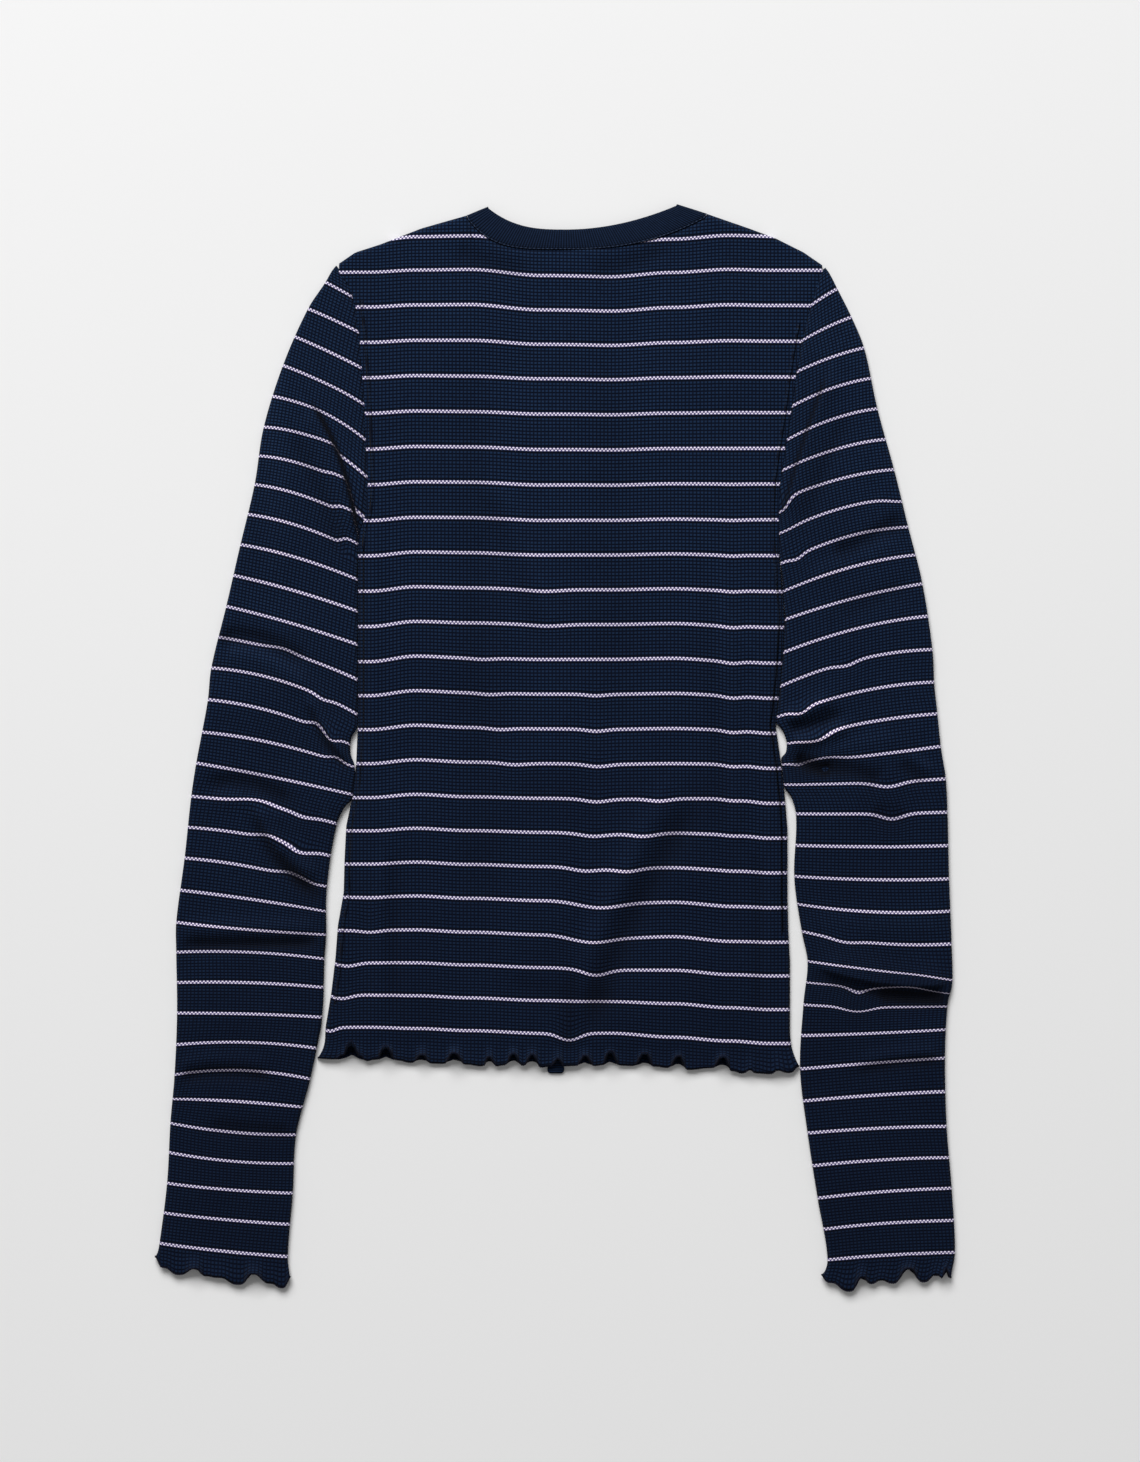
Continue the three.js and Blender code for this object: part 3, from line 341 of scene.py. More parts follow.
# Places where stripes stray on their own: half sizes across and along, and how far up they go there
Kink = namedtuple("Kink", "x y wide tall up")
BACK_KINKS = [
    Kink(8, -172, 8, 11, -4.6), Kink(24, -136, 10, 9, -3.4), Kink(20, -115, 16, 9, -2.8),
    Kink(25, -94, 16, 9, -2.4), Kink(17, -74, 10, 8, -1.6), Kink(43, -73, 9, 8, -1.6),
    Kink(22, -53, 10, 8, -1.4), Kink(53, -53, 10, 8, -1.6), Kink(24, -32, 9, 8, -1.6),
    Kink(62, -32, 9, 8, -1.4), Kink(25, -11, 9, 8, -1.4), Kink(24, 10, 8, 8, -1.2),
    Kink(24, 31, 8, 8, -0.9), Kink(-6, 94, 12, 8, -0.9), Kink(-4, 73, 12, 8, -0.9),
    Kink(-44, 53, 9, 8, -0.8), Kink(-40, 31, 9, 8, -1), Kink(-34, 10, 9, 8, -1), Kink(-25, -11, 9, 8, -1),
    Kink(-135.6, -170, 5, 9, -2.4), Kink(-128.4, -150, 7, 9, -2.2), Kink(-125, -131, 8, 9, -2),
    Kink(-112, -104, 7, 10, -1.6), Kink(106, 20, 7, 90, -1.6),
]
LEFT_SLEEVE_KINKS = [
    Kink(-164, 59, 10, 7, 1.8), Kink(-140, 29, 6, 6, -1.6), Kink(-144, 15, 5, 5, 2.4),
    Kink(-134.5, 5.5, 5, 5.5, -4.2), Kink(-132, -6, 5, 5, 2.6), Kink(-179.5, -32, 14, 6, 2.8),
    Kink(-152, -43, 9, 6, -1.8), Kink(-173, -53, 8, 5, 1.8), Kink(-153.6, -63, 10, 6, -3.6),
    Kink(-160, -74.5, 8, 5, 1.8), Kink(-144, -80, 5, 5, -1.2),
]
RIGHT_SLEEVE_KINKS = [
    Kink(134, 143, 8, 9, -7.5), Kink(207, 149, 10, 7, -2), Kink(144.6, 113, 5, 7, -2.2),
    Kink(174.6, 49, 8, 7, -2), Kink(146.4, 22, 6, 7, -3.4), Kink(155.4, 4.5, 12, 7, -4.6),
    Kink(146, -13, 5, 5, -2.2), Kink(162, -7, 10, 6, 2.4), Kink(199.2, -24, 11, 8, -3),
    Kink(201.6, -43, 9, 9, -3.2), Kink(173.4, -116, 10, 7, -1.8), Kink(181, -151, 9, 8, -7.6),
    Kink(213, -144, 15, 6, 5.2),
]

# Wavy edges: the edge's own height in the photo and how far it lifts off the floor, place by place
Wave = namedtuple("Wave", "x y lift")
HEM_WAVES = [
    Wave(-139, -186, 0.4), Wave(-131, -186.4, 0.2), Wave(-128, -184, 2), Wave(-123, -175, 9),
    Wave(-117, -184.5, 2), Wave(-113.5, -187.6, 0.2), Wave(-108, -186, 1), Wave(-102, -178, 8.5),
    Wave(-95.5, -187, 1), Wave(-87, -188.6, 0), Wave(-80, -183.4, 6), Wave(-75, -189, 0.4),
    Wave(-68, -189.2, 0), Wave(-61, -182.2, 7.5), Wave(-54, -189.6, 0.6), Wave(-44, -190.6, 0),
    Wave(-40, -184.5, 5), Wave(-36, -190.6, 0.3), Wave(-31, -190, 0.3), Wave(-25.5, -182.4, 7),
    Wave(-20, -190.4, 0.4), Wave(-14, -183, 6.5), Wave(-9, -191.3, 0.2), Wave(-3, -190.5, 0.5),
    Wave(1, -185.5, 4.5), Wave(5, -190.5, 0.4), Wave(12, -190.3, 0.3), Wave(17.5, -183.8, 6),
    Wave(23, -190.5, 0.3), Wave(27, -190, 0.5), Wave(32.5, -180.8, 8), Wave(38.5, -190, 0.5),
    Wave(46, -190.4, 0), Wave(53.5, -182, 7.5), Wave(59, -190.8, 0.5), Wave(67, -191.6, 0),
    Wave(73.5, -184, 7), Wave(79, -192.8, 0.4), Wave(93, -191.8, 0), Wave(100.2, -184.2, 8),
    Wave(106, -193.6, 0.5), Wave(112, -195, 0), Wave(116.4, -192.7, 2.5), Wave(120, -194.9, 0),
    Wave(129, -195.3, 0), Wave(132, -193, 2.2), Wave(137, -194.7, 0.2), Wave(142, -191, 1),
]
LEFT_CUFF_WAVES = [
    Wave(-241, -305, 0.4), Wave(-236, -311.5, 0), Wave(-226, -315.8, 0), Wave(-216, -311.5, 5),
    Wave(-210, -316.5, 1), Wave(-203, -317.3, 1.6), Wave(-190, -321.7, 0), Wave(-181.5, -314.6, 5.5),
    Wave(-171.5, -321, 0.5), Wave(-164, -323.8, 0), Wave(-158.5, -317, 2.5),
]
RIGHT_CUFF_WAVES = [
    Wave(158, -315.5, 2), Wave(164, -320.5, 0), Wave(176.5, -325.8, 0), Wave(183.6, -316.6, 5),
    Wave(189, -321.3, 0), Wave(195, -319, 1.2), Wave(202, -321, 0), Wave(211.2, -311.3, 6),
    Wave(220.5, -320.2, 0), Wave(228.5, -315.5, 2), Wave(231.6, -317.6, 3), Wave(233.4, -311, 5),
    Wave(236.6, -317.6, 2),
]

# Each sleeve: its side, its tables, the stripe from which it is a closed tube, and its own unevenness
Sleeve = namedtuple("Sleeve", "side sections folds jumps kinks waves closed_from swell")
SLEEVES = {
    "sleeve_left": Sleeve(-1, LEFT_SLEEVE, LEFT_SLEEVE_FOLDS, LEFT_SLEEVE_JUMPS, LEFT_SLEEVE_KINKS,
                          LEFT_CUFF_WAVES, 7.5, 2.1),
    "sleeve_right": Sleeve(1, RIGHT_SLEEVE, RIGHT_SLEEVE_FOLDS, [], RIGHT_SLEEVE_KINKS,
                           RIGHT_CUFF_WAVES, 6.5, 4.4),
}

# Slow swells of laid cloth: turns for each millimetre across and along, and height
Swell = namedtuple("Swell", "across along size")
SWELLS = [
    Swell(0.0462, 0.0286, 0.35), Swell(-0.0374, 0.0682, 0.28), Swell(0.0946, -0.0572, 0.18),
    Swell(0.0242, 0.1254, 0.14),
]


# Sums on tables and curves

def smooth(t):
    c = np.clip(t, 0.0, 1.0)
    return c * c * (3.0 - 2.0 * c)


def mix(a, b, t):
    return a + (b - a) * t


def along(rows, key, column, value):
    places = [getattr(row, key) for row in rows]
    heights = [getattr(row, column) for row in rows]
    return np.interp(value, places, heights)


def curve_through(rows, key, column, value):
    """A smooth curve through a table's rows, its slope at each from the neighbours."""
    x = np.array([getattr(row, key) for row in rows], float)
    y = np.array([getattr(row, column) for row in rows], float)
    last = len(x) - 1
    before = np.maximum(np.arange(last + 1) - 1, 0)
    after = np.minimum(np.arange(last + 1) + 1, last)
    slope = (y[after] - y[before]) / (x[after] - x[before])
    value = np.asarray(value, float)
    i = np.clip(np.searchsorted(x, value, side="left") - 1, 0, last - 1)
    span = x[i + 1] - x[i]
    t = np.clip((value - x[i]) / span, 0.0, 1.0)
    t2 = t * t
    t3 = t2 * t
    return (y[i] * (2 * t3 - 3 * t2 + 1) + y[i + 1] * (3 * t2 - 2 * t3)
            + slope[i] * span * (t3 - 2 * t2 + t) + slope[i + 1] * span * (t3 - t2))


def wave_at(waves, column, x):
    """Lobes and curls joined by soft steps, level at each row of the table."""
    places = np.array([wave.x for wave in waves], float)
    heights = np.array([getattr(wave, column) for wave in waves], float)
    i = np.clip(np.searchsorted(places, x, side="right") - 1, 0, len(places) - 2)
    t = smooth(smooth((x - places[i]) / (places[i + 1] - places[i])))
    return mix(heights[i], heights[i + 1], t)


def body_left(y):
    return along(BODY_LEVELS, "y", "left", y)


def body_right(y):
    return along(BODY_LEVELS, "y", "right", y)


def hem_height(x):
    return along(HEM_LINE, "x", "y", x)


def shoulder_height(x):
    return along(SHOULDER_LINE, "x", "y", x)


def centre_line(y):
    return PLACKET_LEAN * (y - HEM_MIDDLE) / PLACKET_LENGTH


def fold_line(fold, count=20):
    t = np.linspace(0.0, 1.0, count)
    x = (1 - t) ** 2 * fold.x1 + 2 * t * (1 - t) * fold.x2 + t ** 2 * fold.x3
    y = (1 - t) ** 2 * fold.y1 + 2 * t * (1 - t) * fold.y2 + t ** 2 * fold.y3
    return x, y


def fold_fields(folds, x, y):
    """Height, and the painted shade (above 0) or painted light (below 0), that the folds give at each place.
    """
    rise = np.zeros_like(x)
    dark = np.zeros_like(x)
    for fold in folds:
        away, side, share = beside_line(*fold_line(fold), x, y)
        width = np.where(side > 0, fold.left, fold.right)
        ends = mix(FOLD_END, 1.0, smooth(share / FOLD_FADE) * smooth((1.0 - share) / FOLD_FADE))
        rise += RELIEF * fold.rise * ends * np.exp(-((away / width) ** 2))
        dark += fold.dark * ends * np.exp(-((away / fold.wide) ** 2))
    return rise, np.clip(dark, -1.0, 1.0)


def jumped(jumps, x, y):
    """How far down the stripes have jumped at each place, in pitches."""
    slip = np.zeros_like(x)
    for jump in jumps:
        away, side, share = beside_line(*fold_line(jump), x, y)
        size = np.where(side > 0, jump.left, jump.right)
        reach = np.where(side > 0, jump.left_reach, jump.right_reach)
        slip += size * share ** 2 * smooth((1.0 - away / reach) / 0.6) * smooth(away / 0.35)
    return slip


def beside_line(line_x, line_y, x, y):
    """Distance from a bent line, the side of it (above 0 on its left) and the share along it."""
    best = np.full(x.shape, 1e9)
    side = np.zeros_like(x)
    share = np.zeros_like(x)
    last = len(line_x) - 1
    for i in range(last):
        dx = line_x[i + 1] - line_x[i]
        dy = line_y[i + 1] - line_y[i]
        t = np.clip(((x - line_x[i]) * dx + (y - line_y[i]) * dy) / (dx * dx + dy * dy), 0.0, 1.0)
        away = np.hypot(x - line_x[i] - t * dx, y - line_y[i] - t * dy)
        nearer = away < best
        best = np.where(nearer, away, best)
        side = np.where(nearer, dx * (y - line_y[i]) - dy * (x - line_x[i]), side)
        share = np.where(nearer, (i + t) / last, share)
    return best, side, share


def kinked(kinks, x, y):
    """How far up the stripes stray at each place."""
    up = np.zeros_like(x)
    for kink in kinks:
        up += kink.up * np.exp(-(((x - kink.x) / kink.wide) ** 2) - ((y - kink.y) / kink.tall) ** 2)
    return up


def body_stripe(x, y):
    """The stripe coordinate of the back at a place: whole numbers lie on stripes."""
    even = 1.0 + (STRIPE_ONE - y) / STRIPE_PITCH
    rows = [row.k for row in STRIPE_DRIFT]
    stray = np.array([list(row)[1:] for row in STRIPE_DRIFT], float)
    columns = np.array([np.interp(even, rows, column) for column in stray.T])
    places = np.array(DRIFT_PLACES, float)
    i = np.clip(np.searchsorted(places, x, side="right") - 1, 0, len(places) - 2)
    t = smooth((x - places[i]) / (places[i + 1] - places[i]))
    low = np.take_along_axis(columns, i[None, ...], axis=0)[0]
    high = np.take_along_axis(columns, i[None, ...] + 1, axis=0)[0]
    return even + mix(low, high, t) / STRIPE_PITCH


def soft_unevenness(x, y, seed):
    """Small, slow swells, as laid cloth has."""
    total = np.zeros_like(x)
    for i, swell in enumerate(SWELLS):
        total += swell.size * np.sin(swell.across * x + swell.along * y + seed * (1.3 + i))
    return total


# Meshes

def neck_curve(curve, left, right, x):
    share_left = np.clip((curve.x - x) / (curve.x - left.x), 0.0, 1.0)
    share_right = np.clip((x - curve.x) / (right.x - curve.x), 0.0, 1.0)
    on_left = curve.y + (left.y - curve.y) * share_left ** curve.left_power
    on_right = curve.y + (right.y - curve.y) * share_right ** curve.right_power
    return np.where(x < curve.x, on_left, on_right)


def grid_cloth(name, points, uv, shade, material, weld=None, flipped=False, wall=WALL):
    """A sheet from rows of points, thickened inwards. Welded rows close round to their first point."""
    rows, columns, _ = points.shape
    ids = np.arange(rows * columns).reshape(rows, columns)
    if weld is not None:
        ids[weld, -1] = ids[weld, 0]
    low = slice(0, -1)
    high = slice(1, None)
    order = [(low, low), (low, high), (high, high), (high, low)]
    if flipped:
        order = order[::-1]
    faces = np.stack([ids[c].ravel() for c in order], axis=1)
    corners = np.stack([uv[c].reshape(-1, 2) for c in order], axis=1)
    used = np.unique(faces)
    remap = np.full(rows * columns, -1)
    remap[used] = np.arange(len(used))
    mesh = bpy.data.meshes.new(name)
    mesh.from_pydata((points.reshape(-1, 3)[used] * MM).tolist(), [], remap[faces].tolist())
    layer = mesh.uv_layers.new(name="cloth")
    layer.data.foreach_set("uv", corners.astype(np.float32).ravel())
    # Per point: painted shade (above 0) and painted light (below 0) for the material, with the dark hem and
    # cuff edge
    mark = mesh.attributes.new("fold_shade", "FLOAT", "POINT")
    mark.data.foreach_set("value", shade.ravel()[used].astype(np.float32))
    mesh.polygons.foreach_set("use_smooth", np.ones(len(faces), bool))
    mesh.materials.append(material)
    mesh.update()
    piece = placed(name + "_sheet", mesh)
    thick = piece.modifiers.new("Wall", "SOLIDIFY")
    thick.thickness = wall * MM
    thick.offset = -1.0
    thick.use_even_offset = False
    thick.use_rim = True
    plain = made_plain(piece, name)
    for vertex in plain.data.vertices:
        vertex.co.z = max(vertex.co.z, 0.0)
    return plain


def placed(name, data):
    """An object of its own for a mesh, a light or the camera, in the scene."""
    made = bpy.data.objects.new(name, data)
    bpy.context.scene.collection.objects.link(made)
    return made


def made_plain(source, name):
    """The evaluated object as a plain mesh, in place of its source."""
    bpy.context.view_layer.update()
    graph = bpy.context.evaluated_depsgraph_get()
    mesh = bpy.data.meshes.new_from_object(source.evaluated_get(graph), depsgraph=graph)
    mesh.name = name
    plain = placed(name, mesh)
    old = source.data
    bpy.data.objects.remove(source)
    if old.users == 0:
        bpy.data.meshes.remove(old)
    return plain


def back_tops(x):
    left = Line(LEFT_SEAM_FOLD.x, LEFT_SEAM_FOLD.y - BAND_LOFT / 2)
    right = Line(RIGHT_SEAM_FOLD.x, RIGHT_SEAM_FOLD.y - BAND_LOFT / 2)
    on_shoulder = (x < left.x - SEAM_GAP) | (x > right.x + SEAM_GAP)
    neck = neck_curve(BACK_SEAM, left, right, x) + NECK_TUCK
    into_neck = smooth(np.minimum(x - left.x, right.x - x) / NECK_BLEND)
    return np.where(on_shoulder, shoulder_height(x), neck), into_neck


def back_shares(step):
    """Shares across the back at its top row, with a column each side of both neck corners."""
    top = BODY_LEVELS[-1]
    knots = [top.left, LEFT_SEAM_FOLD.x - 2 * SEAM_GAP, LEFT_SEAM_FOLD.x, RIGHT_SEAM_FOLD.x,
             RIGHT_SEAM_FOLD.x + 2 * SEAM_GAP, top.right]
    places = [top.left]
    for low, high in zip(knots, knots[1:]):
        count = max(1, round((high - low) / step))
        places += list(np.linspace(low, high, count + 1)[1:])
    places = np.array(places)
    return (places - top.left) / (top.right - top.left)


def back_points():
    """The back's upper face as places and how far each is sunk at the sides and at the shoulders."""
    radius = BODY_LOFT - SIDE_RIM
    turns = np.radians(np.linspace(0.0, 90.0, ROLL_STEPS + 1))
    insets = radius * (1 - np.cos(turns))
    sinks = 1 - np.sin(turns)
    shares = back_shares(BACK_STEP)
    shares = shares[(shares > BACK_MARGIN) & (shares < 1 - BACK_MARGIN)]
    side_sink = np.concatenate([sinks, np.zeros(len(shares)), sinks[::-1]])
    levels = np.concatenate([np.linspace(0.0, HEM_SHARE, HEM_ROWS)[:-1],
                             np.linspace(HEM_SHARE, BACK_TOP, round(BACK_LENGTH / BACK_STEP))])
    plan = [(share, 0.0, 0.0) for share in levels]
    plan.append((1.0, radius * 1.8, 0.0))
    plan += [(1.0, inset, sink) for inset, sink in zip(insets[::-1], sinks[::-1])]

    def across(left, right):
        return np.concatenate([left + insets, mix(left, right, shares), (right - insets)[::-1]])

    tops, into_neck = back_tops(across(BODY_LEVELS[-1].left, BODY_LEVELS[-1].right))
    rows = []
    for share, inset, top_sink in plan:
        level = mix(BODY_LEVELS[0].y, BODY_LEVELS[-1].y, share)
        x = across(body_left(level), body_right(level))
        y = mix(hem_height(x), tops, share) - inset * mix(1.0, 1.5, into_neck)
        rows.append((x, y, side_sink, mix(top_sink, 0.5 * min(1.0, 1.5 * top_sink), into_neck)))
    return np.array(rows).transpose(1, 0, 2)


def back_height(x, y, side_sink, top_sink):
    rise, dark = fold_fields(BACK_FOLDS, x, y)
    off = np.minimum(x - body_left(y), body_right(y) - x)
    inside = smooth(off / BACK_CALM)
    placket = PLACKET_RISE * np.exp(-(((x - centre_line(y)) / PLACKET_RISE_WIDTH) ** 2))
    inside = inside * (1.0 - smooth(top_sink / 0.3))
    z = BODY_LOFT + placket + inside * (rise + soft_unevenness(x, y, 0.7))
    folded = 1.0 - smooth((y - ARMHOLE_START) / ARMHOLE_BLEND)
    seam = (1.0 - folded) * (BODY_LOFT - SEAM_LOFT) * (1.0 - smooth(off / SEAM_DIP_WIDTH))
    z = z - seam
    sunk = np.clip(np.maximum(side_sink * folded, top_sink), 0.0, 1.0)
    return mix(z, SIDE_RIM, sunk), dark * inside


def make_back(material):
    x, y, side_sink, top_sink = back_points()
    z, dark = back_height(x, y, side_sink, top_sink)
    u = x / SIZES["cell"]
    v = body_stripe(x, y - kinked(BACK_KINKS, x, y))
    share = np.clip(1.0 - (y - hem_height(x)) / RUFFLE_DEPTH, 0.0, 1.0)
    lift = wave_at(HEM_WAVES, "lift", x)
    new_y = y + (wave_at(HEM_WAVES, "y", x) - hem_height(x)) * share ** RUFFLE_POWER
    new_z = z + lift * share ** LIFT_POWER - EDGE_SINK * share
    flare = FLARE * share ** 2
    on_left = smooth(1 - (x - HEM_LINE[0].x) / FLARE_WIDTH)
    on_right = smooth(1 - (HEM_LINE[-1].x - x) / FLARE_WIDTH)
    new_x = x - flare * on_left + flare * on_right
    # Painted light on the hem's curls, stronger where they lift, and the dark edge along the last of the hem
    light = HEM_LIGHT * smooth(share * 1.6) * (0.3 + lift / HEM_CURL)
    shade = dark - light + EDGE_DARK * smooth((share - EDGE_START) / 0.06)
    points = np.stack([new_x, new_y, new_z], axis=-1)
    piece = grid_cloth("back_shell", points, np.stack([u, v], axis=-1), shade, material)
    return piece, points[0]


def make_front(name, side, material):
    """One front: flat on the floor under the back, with its own slightly shorter ruffle."""
    outer = body_left if side < 0 else body_right
    seam_fold = LEFT_SEAM_FOLD if side < 0 else RIGHT_SEAM_FOLD
    top = BODY_LEVELS[-1].y
    bottom = BODY_LEVELS[0].y
    hem = HEM_MIDDLE + FRONT_SHORTER

    def outside(level):
        return outer(level) - side * FRONT_INSET

    def inside(level):
        return centre_line(level) + side * (PLACKET_WIDTH / 2 + SEAM_GAP)

    neck_x, neck_y = front_neck(side, LEFT_SEAM_FOLD, RIGHT_SEAM_FOLD, FRONT_SEAM_DROP,
                                FRONT_NECK_TURNS)
    shoulder = np.linspace(outside(top), seam_fold.x + side * SEAM_GAP, FRONT_SHOULDER)
    top_x = np.concatenate([shoulder, neck_x + side * NECK_GAP])
    top_y = np.concatenate([shoulder_height(shoulder) - FRONT_INSET, neck_y - SEAM_GAP])
    neck_start = shoulder[-1]
    levels = np.concatenate([np.linspace(0.0, HEM_SHARE, FRONT_HEM_ROWS)[:-1],
                             np.linspace(HEM_SHARE, 1.0, FRONT_ROWS)])
    near_side = np.clip((neck_start - top_x) / (neck_start - top_x[0]), 0.0, 1.0)
    near_centre = np.clip((top_x - neck_start) / (top_x[-1] - neck_start), 0.0, 1.0)
    rows = []
    for share in levels:
        level = mix(bottom, top, share)
        y = mix(hem, top_y, share)
        x = top_x + near_side * (outside(level) - outside(top)) + near_centre * (inside(y) - top_x[-1])
        rows.append((x, y))
    x, y = np.array(rows).transpose(1, 0, 2)
    share = np.clip(1.0 - (y - hem) / RUFFLE_DEPTH, 0.0, 1.0)
    recess = wave_at(HEM_WAVES, "y", x) - hem_height(x)
    pull = hem_height(x) - HEM_MIDDLE + FRONT_RECESS * recess
    lift = FRONT_LIFT * wave_at(HEM_WAVES, "lift", x)
    near_placket = smooth((np.abs(x - centre_line(y)) - 7.0) / 4.0)
    new_y = y + pull * share ** RUFFLE_POWER
    z = lift * near_placket * share ** LIFT_POWER
    edge = smooth(1.0 - np.abs(x - outer(y)) / FRONT_SIDE_WIDTH) * (y < ARMHOLE_START)
    z = z + FRONT_SIDE_RISE * edge
    points = np.stack([x, new_y, z], axis=-1)
    uv = np.stack([x / SIZES["cell"], body_stripe(x, y)], axis=-1)
    piece = grid_cloth(name, points, uv, 0.0 * x, material, flipped=side < 0, wall=FRONT_TOP)
    return piece, points[0]


def front_neck(side, left_fold, right_fold, drop, turns):
    middle = (left_fold.x + right_fold.x) / 2
    half = (right_fold.x - left_fold.x) / 2
    angle = np.radians(turns * side)
    share = (np.sin(angle) + 1) / 2
    y = mix(left_fold.y - BAND_LOFT / 2, right_fold.y - BAND_LOFT / 2, share) - drop * np.cos(angle)
    return middle + half * np.sin(angle), y


def around_sleeve(closed, loft, turn):
    """Places round a flattened tube: shares across it, heights, which lie under and which are sewn down."""
    quarter = SLEEVE_ANGLES[:len(SLEEVE_ANGLES) // 2 + 1]
    corner = len(quarter)
    radius = loft / 2
    if closed:
        first = turn * (1 - np.cos(quarter))
        last = first[::-1]
        rising = radius * (1 + np.sin(quarter))
        sinking = radius * (1 - np.sin(quarter[::-1]))
    else:
        first = np.linspace(0.0, turn, corner)
        last = np.linspace(turn * 0.5, 0.0, corner)
        rising = np.full(corner, loft)
        sinking = np.zeros(corner)
    over = np.linspace(turn, 1 - turn, SLEEVE_OVER + 2)[1:-1]
    below = np.linspace(1 - turn, turn if closed else 0.0, SLEEVE_UNDER + 2)[1:-1]
    share = np.concatenate([first, over, 1 - turn + turn * np.sin(SLEEVE_ANGLES), below, last])
    height = np.concatenate([rising, np.full(SLEEVE_OVER, loft), radius * (1 + np.cos(SLEEVE_ANGLES)),
                             np.zeros(SLEEVE_UNDER), sinking])
    place = np.arange(len(share))
    under = place >= 2 * corner + SLEEVE_OVER
    sewn = (place < corner + SLEEVE_OVER) & (not closed)
    return share, height, under, sewn


def make_sleeve(name, sleeve, material):
    """A flattened tube round its sections: over the top, round the outer fold and back underneath."""
    side = sleeve.side
    start = sleeve.sections[0].k
    levels = np.concatenate([np.arange(start, CUFF_FROM, SLEEVE_ROW),
                             np.linspace(CUFF_FROM, CUFF_TO, CUFF_ROWS)])
    levels[np.argmin(np.abs(levels - sleeve.closed_from))] = sleeve.closed_from
    body_edge = body_left if side < 0 else body_right
    rows = []
    for k in levels:
        ox, oy, mx, my, ix, iy = [float(curve_through(sleeve.sections, "k", column, k))
                                  for column in Section._fields[1:]]
        closed = k >= sleeve.closed_from
        edge = float(body_edge(iy))
        top_inner = edge - side * TUCK
        under_inner = edge + side * BOTTOM_GAP
        if closed:
            limit = edge + side * SIDE_GAP
            apart = side * (ix - limit)
            top_inner = limit + side * max(0.0, apart) * float(smooth((apart - TOUCH) / TOUCH))
            under_inner = top_inner
        width = math.hypot(ox - ix, oy - iy)
        cuff = min(1.0, max(0.0, (k - CUFF_FROM) / (CUFF_TO - CUFF_FROM)))
        loft = mix(SLEEVE_LOFT, CUFF_LOFT, cuff) * mix(TIP_LOFT, 1.0, float(smooth(k - start)))
        share, height, under, sewn = around_sleeve(closed, loft, loft / 2 / width)
        a = (1 - share) * (1 - 2 * share)
        b = 4 * share * (1 - share)
        c = share * (2 * share - 1)
        x = a * np.where(under, under_inner, top_inner) + b * mx + c * ox
        y = a * iy + b * my + c * oy
        u = (np.where(under, 2 - share, share) - 0.5) * width / SIZES["cell"]
        rows.append(np.broadcast_arrays(x, y, height, u, k, share, under, sewn, cuff, width))
    x, y, z, u, v, share, under, sewn, cuff, width = np.array(rows, float).transpose(1, 0, 2)
    top = under == 0
    rise, dark = fold_fields(sleeve.folds, x, y)
    room = smooth(np.where(sewn > 0, 1 - share, np.minimum(share, 1 - share)) * width / SLEEVE_CALM)
    z = z + np.where(top, room * (rise + soft_unevenness(x, y, sleeve.swell)), 0.0)
    dip = np.where(sewn > 0, 1.0 - smooth(share * width / SEAM_DIP_WIDTH), 0.0)
    z = mix(z, np.minimum(z, TUCK_LOFT), dip)
    v = v - np.where(top, jumped(sleeve.jumps, x, y) - kinked(sleeve.kinks, x, y) / SLEEVE_PITCH, 0.0)
    order = np.argsort(x[-1])
    pull = wave_at(sleeve.waves, "y", x) - np.interp(x, x[-1][order], y[-1][order])
    lift = wave_at(sleeve.waves, "lift", x)
    y = y + pull * cuff ** RUFFLE_POWER * np.where(top, 1.0, CUFF_UNDER_PULL)
    z = z + lift * cuff ** LIFT_POWER * np.where(top, 1.0, CUFF_UNDER_LIFT)
    # Painted light on the cuff's curls, stronger where they lift, over the folds' painted shade; then the
    # dark edge
    shade = np.where(top, dark - CUFF_LIGHT * smooth(cuff * 1.4) * (0.5 + lift / CUFF_CURL), 0.0)
    shade = shade + EDGE_DARK * smooth((cuff - CUFF_EDGE_START) / 0.08)
    points = np.stack([x, y, z], axis=-1)
    piece = grid_cloth(name, points, np.stack([u, v], axis=-1), shade, material,
                       weld=levels >= sleeve.closed_from, flipped=side > 0)
    return piece, points[-1]


